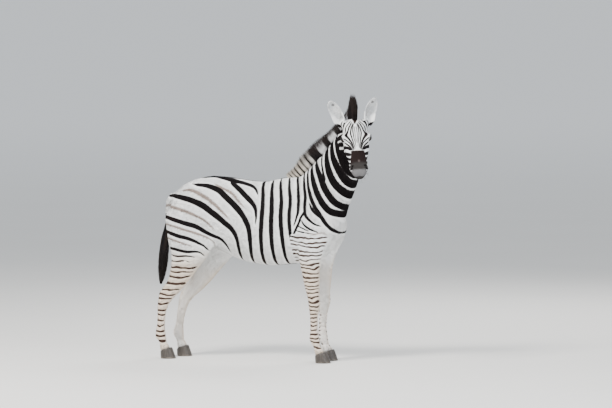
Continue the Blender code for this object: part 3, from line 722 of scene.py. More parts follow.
# Trunk, neck and legs: depths in the dark and the shadow stripes, how brown the black is and how warm
# the white
def bodyMarks(points, normals):
    local = points - home
    x, z, y, _ = onDrawing(points)
    farSide = np.clip(y / 0.05, 0, 1)[:, None]
    place = np.stack((x, z), 1) + bend(local, 0.25, 11, bodyPlan["stray"]) * farSide
    place = place + bend(local, 0.05, 3, bodyPlan["rough"])
    dark = strokeDepth(place, darkStrokes)
    spine = bodyPlan["spine"] - np.abs(y) + 0.002 * waves(local, 0.05, 5)
    onBack = (normals[:, 2] > 0.4) & (x < 0.30) & (x > -0.50) & (z > 0.8)
    dark = np.where(onBack, np.maximum(dark, spine), dark)
    belly = bodyPlan["belly"] - np.abs(y) + 0.003 * waves(local, 0.06, 6)
    onBelly = (normals[:, 2] < -0.5) & (x > -0.15) & (x < 0.33)
    dark = np.where(onBelly, np.maximum(dark, belly), dark)
    dockEnd = np.maximum(dark, dockPlan["black"] - local[:, 2])
    dark = np.where(onDock(local, dockPlan["end"]), dockEnd, dark)
    onFore = (local[:, 0] > 0.24) & (z < 0.69)
    onHind = local[:, 0] < -0.2
    arm = (1 - smooth(local[:, 2], 0.655, 0.70)) * onFore
    shank = (1 - smooth(local[:, 2], 0.50, 0.53)) * onHind
    for share, least, kind, seed in ((arm, 0.3, "fore", 21), (shank, 0.5, "hind", 22)):
        rings = np.where(share > least, legBands(local, kind, seed), noMark)
        dark = np.where(share > 0, np.maximum(dark + share * noMark, rings), dark)
    inner = smooth(0.055 - np.abs(local[:, 1]), -0.02, 0.01) * smooth(0.60 - local[:, 2], -0.02, 0.05)
    low = 1 - smooth(local[:, 2], 0.5, 0.62)
    brown = np.clip(arm + shank * 0.8 + smooth(-x, 0.30, 0.46) * 0.25 + low * 0.5, 0, 1)
    warm = (1 - smooth(local[:, 2], 0.42, 0.66)) * np.where(onFore | onHind, 1, 0.45)
    warm = warm * (0.35 + 0.65 * smooth(np.abs(local[:, 1]), 0.06, 0.11))
    warm = np.clip(warm + 0.12 * waves(local, 0.2, 8), 0, 1)
    return dark - inner * onHind * 0.02, strokeDepth(place, shadowStrokes), brown, warm


# The nose patch: where it starts between the eyes and the lips, where all of the muzzle is dark, and the
# middle of its brown part as share of the head and degrees
nosePlan = {"top": 0.600, "round": 0.865, "brown": (0.785, 4)}


# The head: depths in its stripes, in the wedge between the ears and in the nose patch; the muzzle's
# shades, from 0 dark brown by 1 dark grey to 2 for the paler lip; the patch's brown; the blur above it
def faceMarks(points, head):
    local = points - home
    s, turn, _, toUp = onFace(points)
    face = np.stack((s * headLength, np.radians(np.abs(turn)) * faceRound), 1)
    face = face + bend(local, 0.04, 31, bodyPlan["rough"])
    strokes = [([(p * headLength, math.radians(a) * faceRound) for p, a in line], widths)
               for line, widths in faceStrokes]
    wedge = 0.014 - face[:, 1] - 0.22 * np.maximum(face[:, 0], 0) + 0.003 * waves(local, 0.010, 34)
    wedge = np.where((s > -0.08) & (s < 0.17), np.minimum(wedge, (0.155 - s) * headLength), noMark)
    dark = np.maximum(strokeDepth(face, strokes), wedge)
    snout = np.abs(turn) + 7 * waves(local, 0.03, 33)
    across = (43 + 22 * smooth(s, 0.58, 0.80) + 50 * smooth(s, 0.80, 0.90) - snout) / 57 * faceRound
    nose = np.minimum((s - nosePlan["top"] + 0.0003 * np.abs(turn)) * headLength, across)
    nose = np.maximum(nose, (s - nosePlan["round"] + 0.0004 * np.minimum(snout, 120)) * headLength)
    grey = (smooth(s, 0.75, 0.86) + smooth(s, 0.895, 0.945) * smooth(toUp, -0.066, -0.050)) * head
    along, degrees = nosePlan["brown"]
    middle = np.hypot((s - along) * headLength, np.radians(turn - degrees) * faceRound)
    blurred = smooth(s, 0.50, 0.60) * (1 - smooth(np.abs(turn), 14, 26)) * (head > 0.5)
    return dark, wedge, nose, grey, (1 - smooth(middle, 0.002, 0.017)) * 0.9, blurred


# Bare skin on eyelids, nostrils and lips, painted dark, which in the nostril holes and the seam of the lips
# is also painted shade, and the nostrils' pale rims, which are 3 among the greys
def bareSkinAndShadeMarks(points, head):
    s, _, toLeft, _ = onFace(points)
    outside = smooth(np.abs(toLeft) + (s - nostrils[0][0][0]) * 0.5, 0.108, 0.120)
    bareSkinAndShade, rim = np.zeros(len(points)), np.zeros(len(points))
    for side in (-1, 1):
        _, beyond, distance, _ = lidShare(points, side)
        bareSkinAndShade = np.maximum(bareSkinAndShade, (1 - smooth(beyond, 8, 17)) * (distance < eyePlan["radius"] * 1.6))
        for at, reach in nostrils:
            away = sizes(points - onSurface(points, sided(at, side)))
            # the nostril hole: dark bare skin and painted shade in the hole
            bareSkinAndShade = np.maximum(bareSkinAndShade, 1 - smooth(away, reach * 0.6, reach * 1.05))
            if at == nostrils[0][0]:
                edge = 1 - smooth(np.abs(away - rimAway), 0.0012, 0.0030)
                rim = np.maximum(rim, 3 * outside * edge * head)
        lips = [onSurface(points, sided(spot, side)) for spot in mouthLine]
        for first, second in zip(lips, lips[1:]):
            away = fromLine(points, first, second)[1]
            # the seam of the lips: dark bare skin and painted shade in the crease
            bareSkinAndShade = np.maximum(bareSkinAndShade, (1 - smooth(away, 0.0020, 0.0065)) * 0.9)
    return bareSkinAndShade, rim


earLength = 0.155
earBands = ((0.09, 0.93), (0.075, 0.55))  # half widths and middles as shares of it


# Ears: share of the height, how far a place faces back, depths in the dark bands behind and in the dark
# spot near the tip
def earMarks(points, normals):
    ear = np.zeros(len(points))
    spot = np.full(len(points), noMark)
    for side in sides:
        low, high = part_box("ear_" + side)
        share = near("ear_" + side, points, 0.006)
        rise = (points[:, 2] - low.z) / (high.z - low.z)
        ear = np.maximum(ear, np.where(share > 0.05, rise, 0))
        tip = points[(share > 0.05) & (np.abs(rise - 0.83) < 0.04)].mean(0)
        spot = np.maximum(spot, 0.0085 - sizes(points - tip) + 0.002 * waves(points, 0.012, 9))
    behind = -(normals @ unit(forward * 0.8 - up * 0.3))
    upper, lower = (half - np.abs(ear - middle) for half, middle in earBands)
    return ear, behind, np.minimum(np.maximum(upper, lower), behind * 0.3) * earLength, spot


def marksAt(points, normals):
    dark, shadow, brown, warm = bodyMarks(points, normals)
    head = smooth(headSide(points), -0.006, 0.006)
    ahead = head > 0.5
    onHeadDark, wedge, nose, grey, patch, blurred = faceMarks(points, head)
    dark = towards(dark, onHeadDark, head)
    brown = brown * (1 - head) + head * (0.08 + 0.4 * smooth(wedge, -0.004, 0.002))
    brown = np.where((nose > -0.002) & ahead, patch, brown)
    shadow = np.maximum(shadow + head * noMark, np.where(ahead, wedge, noMark))
    shadow = np.maximum(shadow, blurred * 0.0015 + (1 - blurred) * noMark)
    bareSkinAndShade, rim = bareSkinAndShadeMarks(points, head)
    ear, behind, band, spot = earMarks(points, normals)
    onEar = ear > 0.22
    dark = np.where(onEar, np.where(behind > 0.15, band, noMark), dark)
    nose = np.where(ahead & ~onEar, nose, noMark)
    shadow = np.where(onEar, np.where(behind > 0, noMark, spot), shadow)
    # the ear's inside is painted greyer: partly its own grey, partly painted shade in the ear's hollow
    inside = np.where(onEar, 0.5 + 0.5 * smooth(-behind, 0.1, 0.6), 0.0)
    return {
        "marks": np.stack((dark, shadow, nose), 1) * 1000,
        "tone": np.stack((warm * (1 - head), brown, bareSkinAndShade), 1),
        "area": np.stack((np.maximum(grey, rim), inside, head), 1),
    }


splitAtMarks(skin)
skin.data.shade_smooth()
marked = marksAt(pointsOf(skin), normalsOf(skin))
for name, values in marked.items():
    addMark(skin, name, values)
print("markings drawn:", len(skin.data.polygons), "triangles")

# The skin's surface as arrays, for the unwrap and for the roots of the hair
skinPoints = pointsOf(skin)
skinNormals = normalsOf(skin)
corners = read(skin.data.loops, "vertex_index", 1, np.int32).reshape(-1, 3)

# Each region is unwrapped round its own axis: turns round it across, metres along it upwards. The skin's
# cells are left, bottom, width and height
cells = {
    "trunk": (0.01, 0.01, 0.59, 0.40),
    "neck": (0.01, 0.42, 0.44, 0.24),
    "dock": (0.47, 0.42, 0.12, 0.24),
    "head": (0.01, 0.67, 0.60, 0.32),
}
legRegions = [f"{kind}_{side}" for kind in ("fore", "hind") for side in sides]
earRegions = [f"ear_{side}_{face}" for side in sides for face in ("front", "back")]
for i, (leg, ear) in enumerate(zip(legRegions, earRegions)):
    cells[leg] = (0.630 + 0.093 * i, 0.01, 0.080, 0.65)
    cells[ear] = (0.630 + 0.093 * i, 0.67, 0.080, 0.32)


def regionOf(points, normals, ear):
    local = points - home
    found = np.full(len(points), "trunk", dtype="<U16")
    found[onDrawing(points)[3] > 0.25] = "neck"
    found[headSide(points) > 0] = "head"
    found[onDock(local)] = "dock"
    side = np.where(local[:, 1] > 0, "left", "right")
    low = local[:, 2] < legTop
    for kind, there in (("fore", local[:, 0] > 0.15), ("hind", local[:, 0] < -0.15)):
        found = np.where(low & there, np.char.add(kind + "_", side), found)
    side = np.where((points - poll) @ left > 0, "ear_left", "ear_right")
    front = np.where(normals @ forward > 0, "_front", "_back")
    return np.where(ear > 0.5, np.char.add(side, front), found)


def turned(across, high):
    return np.arctan2(across, high) / (2 * math.pi) + 0.5


# Turns round the region's axis, and metres along it. Where the surface faces along the axis, as on
# the rump and the muzzle, what is nearer the axis is laid further out
def unwrapped(region, points, normals):
    local = points - home
    if region == "neck":
        x, z, y, along = onDrawing(points)
        span = np.stack((dots(throat - crest, facing), (throat - crest)[:, 2]), 1)
        middle = rowsAt(along, straight + span / 2)
        rise = unit(rowsAt(along, -span))
        return turned(y, dots(np.stack((x, z), 1) - middle, rise)), along
    if region == "head":
        s, turn, toLeft, toUp = onFace(points)
        inward = 0.20 - np.hypot(toLeft, toUp + faceAxis)
        return turn / 360 + 0.5, s + (normals @ forward) * inward
    if region == "trunk":
        high = local[:, 2] - 0.745
        inward = 0.17 - np.hypot(local[:, 1], high)
        return turned(local[:, 1], high), local[:, 0] + normals[:, 0] * inward
    if region == "dock":
        return turned(local[:, 1], 0.505 + local[:, 0]), local[:, 2]
    if region.startswith("ear"):
        return (points - poll) @ left, points[:, 2]
    kind = region[:4]
    return turned(aheadOfLeg(local, kind), np.abs(local[:, 1]) - legPlan[kind]["away"]), local[:, 2]


def unwrapSkin():
    facingWay = skinNormals[corners].mean(1)
    region = regionOf(skinPoints[corners].mean(1), facingWay, marked["area"][:, 1][corners].mean(1))
    flat = np.zeros((len(corners), 3, 2))
    spans = {}
    for name, (x, y, width, height) in cells.items():
        mine = np.nonzero(region == name)[0]
        spot = corners[mine].ravel()
        u, v = unwrapped(name, skinPoints[spot], skinNormals[spot])
        u = u.reshape(-1, 3)
        if not name.startswith("ear"):  # a face across the seam stays in one piece
            u = u + ((u.max(1) - u.min(1))[:, None] > 0.5) * (u < 0.5)
        low = 0.0 if u.min() > 0 and u.max() > 0.9 else u.min()
        spans[name] = low, u.max(), v.min(), v.max()
        flat[mine, :, 0] = x + (u - low) / (u.max() - low) * width
        flat[mine, :, 1] = y + (v.reshape(-1, 3) - v.min()) / (v.max() - v.min()) * height
    layer = skin.data.uv_layers.new(name="OFBake")
    layer.data.foreach_set("uv", flat.astype(np.float32).ravel())
    return region, spans


faceRegion, regionSpans = unwrapSkin()
print("skin unwrapped:", len(corners), "faces")


# One tapering hair: a three-sided tube, closed at the root, drawn to a point at its tip
def hairShape(lengths):
    bm = bmesh.new()
    bmesh.ops.create_circle(bm, cap_ends=True, segments=3, radius=1)
    ring = list(bm.edges)
    for _ in range(lengths):
        made = bmesh.ops.extrude_edge_only(bm, edges=ring)["geom"]
        last = [item for item in made if isinstance(item, bmesh.types.BMVert)]
        ring = [item for item in made if isinstance(item, bmesh.types.BMEdge)]
        ring = [edge for edge in ring if set(edge.verts) <= set(last)]
        bmesh.ops.translate(bm, vec=(0, 0, 1), verts=last)
    bmesh.ops.pointmerge(bm, verts=last, merge_co=(0, 0, lengths))
    bmesh.ops.triangulate(bm, faces=bm.faces)
    bmesh.ops.recalc_face_normals(bm, faces=bm.faces)
    shape = np.array([v.co for v in bm.verts])
    bm.verts.index_update()
    faces = np.array([[v.index for v in f.verts] for f in bm.faces])
    bm.free()
    return shape, faces


# The unwrap of a hair, in shares of the picture: its size at the root, how much less it is at the tip, and
# its height where it is laid out along its length
hairPatch = {"root": 0.0016, "narrowing": 0.0012, "high": 0.001}


# Many hairs joined in one mesh. Each has a path of points, a width at its root, the way it is flat
# and its marks; the unwrap takes a small patch for each at its root's place
def hairMesh(name, paths, widths, flat, taper, thick, places, along, marks):
    count, rings = paths.shape[:2]
    shape, faces = hairShape(rings - 1)
    ring = np.rint(shape[:, 2]).astype(int)
    way = unit(np.gradient(paths, axis=1))
    side = unit(np.cross(way, flat[:, None, :]))
    lift = np.cross(side, way)
    size = widths[:, None, None] * np.array(taper)[None, ring, None]
    x, y = shape.T[:2, None, :, None]
    points = paths[:, ring] + size * (side[:, ring] * x + lift[:, ring] * y * thick)
    index = (faces[None] + np.arange(count)[:, None, None] * len(shape)).reshape(-1, 3)
    mesh = bpy.data.meshes.new(name)
    mesh.vertices.add(count * len(shape))
    mesh.vertices.foreach_set("co", points.astype(np.float32).ravel())
    mesh.loops.add(index.size)
    mesh.loops.foreach_set("vertex_index", index.astype(np.int32).ravel())
    mesh.polygons.add(len(index))
    mesh.polygons.foreach_set("loop_start", np.arange(0, index.size, 3, dtype=np.int32))
    mesh.update(calc_edges=True)
    patch = places[:, None, :] + shape[None, :, :2] * hairPatch["root"]
    if along:
        upwards = shape[:, 2] / (rings - 1) * along + shape[:, 1] * hairPatch["high"]
        patch[:, :, 1] = places[:, None, 1] + upwards
    else:
        patch = patch - shape[None, :, :2] * hairPatch["narrowing"] * (shape[None, :, 2:] > 0)
    layer = mesh.uv_layers.new(name="OFBake")
    layer.data.foreach_set("uv", patch.reshape(-1, 2)[index.ravel()].astype(np.float32).ravel())
    made = placed(name, mesh)
    mesh.shade_smooth()
    for key, values in marks.items():
        addMark(made, key, np.repeat(values, len(shape), 0))
    own = np.random.default_rng(len(name) + count).uniform(0, 1, count)
    hair = np.zeros((count, len(shape), 3))
    hair[:, :, 0] = shape[None, :, 2] / (rings - 1)
    hair[:, :, 1] = own[:, None]
    addMark(made, "hair", hair.reshape(-1, 3))
    return made


# Materials: a socket that can be reckoned with, and a paint made of such sockets
class Socket:
    def __init__(self, paint, output):
        self.paint = paint
        self.output = output

    def mathed(self, operation, first, second=0.0):
        return self.paint.node("Math", {"operation": operation}, {0: first, 1: second})

    def __add__(self, other):
        return self.mathed("ADD", self, other)

    __radd__ = __add__

    def __sub__(self, other):
        return self.mathed("SUBTRACT", self, other)

    def __rsub__(self, other):
        return self.mathed("SUBTRACT", other, self)

    def __mul__(self, other):
        return self.mathed("MULTIPLY", self, other)

    __rmul__ = __mul__

    def step(self, low, high):
        settings = {"interpolation_type": "SMOOTHSTEP"}
        return self.paint.node("MapRange", settings, {"Value": self, "From Min": low, "From Max": high})


class Paint:
    def __init__(self, name, roughness, constants=None):
        self.material = bpy.data.materials.new(name)
        self.material.use_nodes = True
        self.tree = self.material.node_tree
        self.shader = self.tree.nodes["Principled BSDF"]
        self.shader.inputs["Roughness"].default_value = roughness
        for key, value in (constants or {}).items():
            self.shader.inputs[key].default_value = value

    # A node by its type, its settings, and the values or links of its sockets
    def node(self, kind, settings=None, sockets=None, out=0):
        made = self.tree.nodes.new("ShaderNode" + kind)
        for key, value in (settings or {}).items():
            setattr(made, key, value)
        for key, value in (sockets or {}).items():
            self.put(made.inputs[key], value)
        return Socket(self, made.outputs[out])

    def put(self, socket, value):
        if isinstance(value, Socket):
            self.tree.links.new(value.output, socket)
        elif isinstance(value, tuple) and len(value) == 3 and socket.type == "RGBA":
            socket.default_value = (*value, 1)
        else:
            socket.default_value = value

    def mark(self, name):
        vector = self.node("Attribute", {"attribute_name": name}, out="Vector")
        split = self.node("SeparateXYZ", None, {0: vector})
        return [Socket(self, o) for o in split.output.node.outputs]

    def noise(self, scale, detail=2.0, stretch=None):
        place = self.node("TexCoord", out="Object")
        if stretch:
            place = self.node("Mapping", None, {"Vector": place, "Scale": stretch})
        return self.node("TexNoise", None, {"Vector": place, "Scale": scale, "Detail": detail}, "Fac")

    def mix(self, share, first, second):
        return self.node("Mix", {"data_type": "RGBA"}, {0: share, 6: first, 7: second}, 2)

    def darker(self, colour, share):
        grey = self.node("CombineColor", None, {0: share, 1: share, 2: share})
        settings = {"data_type": "RGBA", "blend_type": "MULTIPLY"}
        return self.node("Mix", settings, {0: 1.0, 6: colour, 7: grey}, 2)

    def bump(self, height, strength, distance):
        return self.node("Bump", None, {"Strength": strength, "Distance": distance, "Height": height})

    def finish(self, **sockets):
        for key, value in sockets.items():
            self.put(self.shader.inputs[key.replace("_", " ")], value)
        return self.material


coatColours = {
    "white": (0.84, 0.845, 0.84),
    "shade": (0.66, 0.665, 0.67),
    "cream": (0.74, 0.61, 0.48),
    "black": (0.0065, 0.0050, 0.0055),
    "brown": (0.046, 0.028, 0.022),
    "shadow": (0.175, 0.112, 0.082),
    "nose": (0.0125, 0.0076, 0.0072),
    "noseMiddle": (0.072, 0.056, 0.054),
    "grey": (0.030, 0.027, 0.026),
    "lip": (0.135, 0.132, 0.135),
    "rim": (0.50, 0.49, 0.49),
    # dark bare skin, which is also painted shade in the nostril holes and between the lips
    "bareSkinAndShade": (0.006, 0.005, 0.005),
    # grey inside the ear: partly its own grey and partly painted shade in its hollow
    "earInside": (0.46, 0.48, 0.50),
    "earSpot": (0.055, 0.052, 0.052),
}


# Skin and tufts share the markings; tufts also have their own place along the hair, which paints them darker
# towards the root as painted shade, and their own random tone
def coatPaint(name, tufts):
    paint = Paint(name, 0.72, {"Specular IOR Level": 0.06})
    tone = coatColours
    dark, shadow, nose = paint.mark("marks")
    warm, brown, bareSkinAndShade = paint.mark("tone")
    grey, ear, _ = paint.mark("area")
    rough = paint.noise(420, 3)
    blotch = paint.noise(26, 3)
    wobble = (rough - 0.5) * (0.8 if tufts else 2.2)
    white = paint.mix(blotch.step(0.35, 0.75) * 0.5, tone["white"], tone["shade"])
    white = paint.mix((warm + (blotch - 0.5) * 0.5 * warm).step(0.0, 1.0) * 0.85, white, tone["cream"])
    # the inside of the ear painted greyer: partly its own grey, partly painted shade in the ear's hollow
    white = paint.mix((ear - 0.5) * 2 * (blotch.step(0.3, 0.7) * 0.6 + 0.4), white, tone["earInside"])
    black = paint.mix((brown + (blotch - 0.5) * 0.8).step(0.1, 1.0), tone["black"], tone["brown"])
    edge = (dark + wobble).step(-1.6, 0.4)
    second = paint.mix(ear.step(0.4, 0.5), tone["shadow"], tone["earSpot"])
    colour = paint.mix((shadow + wobble * 2).step(-2.5, 3.0) * 0.85, white, second)
    colour = paint.mix(edge * 0.55, colour, tone["brown"])
    colour = paint.mix((dark + wobble).step(-0.5, 0.9), colour, black)
    fine = paint.noise(130, 3) - 0.5
    snout = paint.mix((brown + fine * brown).step(0, 1), tone["nose"], tone["noseMiddle"])
    snout = paint.mix((grey + fine * 0.5).step(0, 1), snout, tone["grey"])
    snout = paint.mix((grey + fine * 0.6).step(1, 2), snout, tone["lip"])
    snout = paint.mix(grey.step(2, 3), snout, tone["rim"])
    colour = paint.mix((nose + wobble * 1.5).step(-1.5, 1.5), colour, snout)
    # bare skin painted dark; in the nostril holes and between the lips this is also painted shade
    colour = paint.mix(bareSkinAndShade, colour, tone["bareSkinAndShade"])
    if tufts:
        along, own, _ = paint.mark("hair")
        # painted shade at the root of each tuft, lighter towards its tip, and a random tone for each
        shade = 0.80 + along * 0.16 + own * 0.16
        colour = paint.darker(colour, shade)
        return paint.finish(Base_Color=colour)
    height = paint.noise(900, 2, (0.35, 1.0, 0.6)) * 0.6 + paint.noise(160, 3, (0.5, 1.0, 0.7)) * 0.4
    return paint.finish(Base_Color=colour, Normal=paint.bump(height, 0.35, 0.0016))


skin.data.materials.clear()
skin.data.materials.append(coatPaint("striped short coat", False))
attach(skin, "root")
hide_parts(*fleshNames)
print("skin painted")

# The short coat, as tufts that lie along the body. Each piece: its regions, its side, how many tufts
coatPieces = {
    "coat_trunk_left": (["trunk"], 1, 47000),
    "coat_trunk_right": (["trunk"], -1, 47000),
    "coat_neck": (["neck"], 0, 47000),
    "coat_head": (["head", *earRegions], 0, 48000),
    "coat_fore_legs": (legRegions[:2], 0, 40000),
    "coat_hind_legs": ([*legRegions[2:], "dock"], 0, 46000),
}
coatPlan = {
    "body": 0.0112,
    "neck": 0.0100,
    "leg": 0.0082,
    "foot": 0.0070,
    "head": 0.0064,
    "muzzle": 0.0026,
    "ear": 0.0046,
    "fringe": 0.0135,  # over the hooves
    "edge": 0.45,  # share of the length beside the edge of a stripe, which keeps it crisp
    "width": 0.080,  # as a share of the length
    "thick": 0.35,  # as a share of the width
    "lift": (7, 16),  # degrees off the skin
    "sunk": 0.0005,
}


def upEars(points):
    return unit(np.array((0, 0, 1.0)) + left * (0.40 * np.sign(onFace(points)[2]))[:, None])


# Which way the hair lies: back and down the body, down the neck and legs, towards the muzzle, up the ears
def lieOf(points, normals, ear):
    local = points - home
    along = onDrawing(points)[3]
    way = np.tile((-0.92, 0.0, -0.38), (len(points), 1))
    downNeck = rowsAt(along, facing) * (-0.62, -0.62, 0) + (0, 0, -0.78)
    way = towards(way, downNeck, smooth(along, 0.0, 1.5)[:, None])
    way = towards(way, np.array((-0.14, 0, -1.0)), 1 - smooth(local[:, 2], 0.46, 0.66)[:, None])
    way = towards(way, forward - 0.10 * up, smooth(headSide(points), -0.03, 0.03)[:, None])
    way = np.where(ear[:, None] > 0.3, upEars(points), way)
    dock = onDock(local, -0.47) & (local[:, 2] < 0.9)
    way = np.where(dock[:, None], (-0.35, 0, -1.0), way)
    way = unit(way - normals * dots(way, normals)[:, None])
    turn = (0.24 * waves(local, 0.20, 41) + 0.16 * waves(local, 0.06, 42))[:, None]
    return unit(way * np.cos(turn) + np.cross(normals, way) * np.sin(turn))


def tuftLength(points, ear, head):
    local = points - home
    length = towards(coatPlan["foot"], coatPlan["leg"], smooth(local[:, 2], 0.06, 0.25))
    length = towards(length, coatPlan["body"], smooth(local[:, 2], 0.45, 0.65))
    length = towards(length, coatPlan["neck"], smooth(onDrawing(points)[3], 0.0, 1.0))
    faceLength = towards(coatPlan["head"], coatPlan["muzzle"], smooth(onFace(points)[0], 0.25, 0.95))
    return np.where(ear > 0.3, coatPlan["ear"], towards(length, faceLength, head))


def areaNormals(faces):
    spots = skinPoints[corners[faces]]
    return np.cross(spots[:, 1] - spots[:, 0], spots[:, 2] - spots[:, 0])


# Random places on the skin: faces chosen by their area and share, then a point in each
def rooted(chosen, share, count, draws):
    area = sizes(areaNormals(chosen)) * share
    face = chosen[draws.choice(len(chosen), count, p=area / area.sum())]
    first, second = draws.uniform(0, 1, (2, count))
    over = first + second > 1
    first, second = np.where(over, 1 - first, first), np.where(over, 1 - second, second)
    mix = np.stack((1 - first - second, first, second), 1)[:, :, None]
    at = corners[face]
    marks = {name: (values[at] * mix).sum(1) for name, values in marked.items()}
    return face, (skinPoints[at] * mix).sum(1), unit((skinNormals[at] * mix).sum(1)), marks


def patchPlaces(face, points, normals, names, side):
    found = np.zeros((len(points), 2))
    for i, name in enumerate(names):
        mine = faceRegion[face] == name
        if not mine.any():
            continue
        low, high, start, end = regionSpans[name]
        u, v = unwrapped(name, points[mine], normals[mine])
        u = np.clip((u - low) / (high - low), 0, 1)
        if side:  # one side of the body takes half of the turns round it
            u = np.clip((u - 0.5) * 2 if side > 0 else u * 2, 0, 1)
        v = np.clip((v - start) / (end - start), 0, 1)
        found[mine] = np.stack(((i + 0.01 + 0.98 * u) / len(names), 0.005 + 0.99 * v), 1)
    return found


def coatPiece(name, names, side, count, seed, material):
    draws = np.random.default_rng(seed)
    centres = skinPoints[corners].mean(1)
    chosen = np.isin(faceRegion, names)
    if side:
        chosen &= (centres[:, 1] - home[1]) * side > 0
    fringe = np.zeros(len(centres))
    if "legs" in name:
        fringe = np.maximum.reduce([near(hoof, centres, 0.012) for hoof in hoofNames])
        facesDown = unit(areaNormals(np.arange(len(corners))))[:, 2] < -0.5
        chosen &= ~(facesDown & (centres[:, 2] < 0.12))
    brush = onDock(centres - home, dockPlan["end"]) & (centres[:, 2] < dockPlan["hidden"])
    bareSkinAndShade = marked["tone"][:, 2][corners].mean(1)
    _, ear, head = marked["area"][corners].mean(1).T
    chosen = np.nonzero(chosen & (bareSkinAndShade < 0.4) & ~brush)[0]
    length = tuftLength(centres[chosen], ear[chosen], head[chosen])
    wanted = (0.012 / length) ** 1.1 * (1 + 5 * fringe[chosen])
    face, points, normals, marks = rooted(chosen, wanted, count, draws)
    ear, head = marks["area"][:, 1], marks["area"][:, 2]
    length = tuftLength(points, ear, head) * draws.uniform(0.75, 1.25, count)
    beside = np.exp(-(marks["marks"][:, 0] / 5.5) ** 2) * (1 - ear)
    length = length * (1 - (1 - coatPlan["edge"]) * beside)
    length = towards(length, coatPlan["fringe"], fringe[face])
    way = lieOf(points, normals, ear)
    stray = np.radians(draws.normal(0, 7, count))[:, None]
    way = way * np.cos(stray) + np.cross(normals, way) * np.sin(stray)
    rise = draws.uniform(*coatPlan["lift"], count) * np.where(ear > 0.3, 0.4, 1) + 12 * fringe[face]
    rise = np.radians(rise)[:, None]
    start = points - normals * coatPlan["sunk"]
    tip = start + (way * np.cos(rise) + normals * np.sin(rise)) * length[:, None]
    width = length * coatPlan["width"] * draws.uniform(0.8, 1.25, count) + 0.0002
    places = patchPlaces(face, points, normals, names, side)
    paths = np.stack((start, tip), 1)
    made = hairMesh(name, paths, width, normals, (1, 0), coatPlan["thick"], places, 0, marks)
    made.data.materials.append(material)
    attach(made, "root")
    "leg_coat" if "leg" in name else "striped_coat"
    return len(made.data.polygons)


tuftPaint = coatPaint("coat tufts", True)
total = 0
for order, (name, (names, side, count)) in enumerate(coatPieces.items()):
    total += coatPiece(name, names, side, count, 100 + order, tuftPaint)
print("coat laid:", total, "triangles")


# Hair that stands or hangs: its own paint, with a tip that darkens, and a little painted shade towards the
# root
def hairPaint(name, pale, cream, dark, tip):
    paint = Paint(name, 0.55, {"Specular IOR Level": 0.14})
    band, tipped, warm = paint.mark("marks")
    along, own, _ = paint.mark("hair")
    colour = paint.mix(warm, pale, cream)
    colour = paint.mix((band + (own - 0.5) * 5).step(-2.5, 2.5), colour, dark)
    colour = paint.mix((along + own * 0.30 - 0.15).step(0.42, 0.86) * tipped, colour, tip)
    # each hair a little darker towards its root as painted shade, and lighter or darker at random
    return paint.finish(Base_Color=paint.darker(colour, 0.72 + own * 0.34 + along * 0.08))


# Mane: rows up the crest with the root, the way it stands, its height and half its width. The last four
# are the brush between the ears
manePlan = {
    "rows": [
        ((0.195, 0.000, 0.982), (-0.75, 0.00, 0.66), 0.034, 0.010),
        ((0.255, 0.000, 0.998), (-0.68, 0.00, 0.73), 0.062, 0.013),
        ((0.312, 0.000, 1.040), (-0.68, 0.00, 0.73), 0.090, 0.016),
        ((0.390, -0.008, 1.115), (-0.68, 0.02, 0.73), 0.090, 0.017),
        ((0.462, -0.030, 1.190), (-0.60, 0.15, 0.72), 0.068, 0.017),
        ((0.528, -0.058, 1.254), (-0.52, 0.30, 0.76), 0.068, 0.017),
        ((0.570, -0.080, 1.290), (-0.40, 0.30, 0.84), 0.072, 0.017),
        ((0.584, -0.094, 1.300), (-0.20, 0.13, 0.95), 0.086, 0.017),
        ((0.5935, -0.104, 1.304), (-0.085, 0.015, 1.00), 0.146, 0.018),
        ((0.6055, -0.126, 1.302), (-0.005, -0.065, 1.00), 0.132, 0.016),
        ((0.6155, -0.144, 1.298), (0.08, -0.26, 0.95), 0.060, 0.010),
    ],
    "hairs": 9500,
    "width": 0.0010,
    "thick": 0.7,  # as a share of the width
    "sunk": 0.014,
    "bow": 0.006,
    "brush": (7, 8),  # it grows from the first of these rows on, wholly upright from the second
    # Dark bands up the crest: place and half width
    "bands": [(0.212, 0.0035), (0.234, 0.0040), (0.257, 0.0045), (0.280, 0.0050), (0.303, 0.0055),
              (0.328, 0.0060), (0.368, 0.0200), (0.436, 0.0150), (0.503, 0.0140), (0.545, 0.0120),
              (0.640, 0.0620)],
}


maneColours = {
    "pale": (0.66, 0.66, 0.68),
    "cream": (0.68, 0.62, 0.54),
    "dark": (0.010, 0.0075, 0.0080),
    "tip": (0.018, 0.012, 0.011),
}


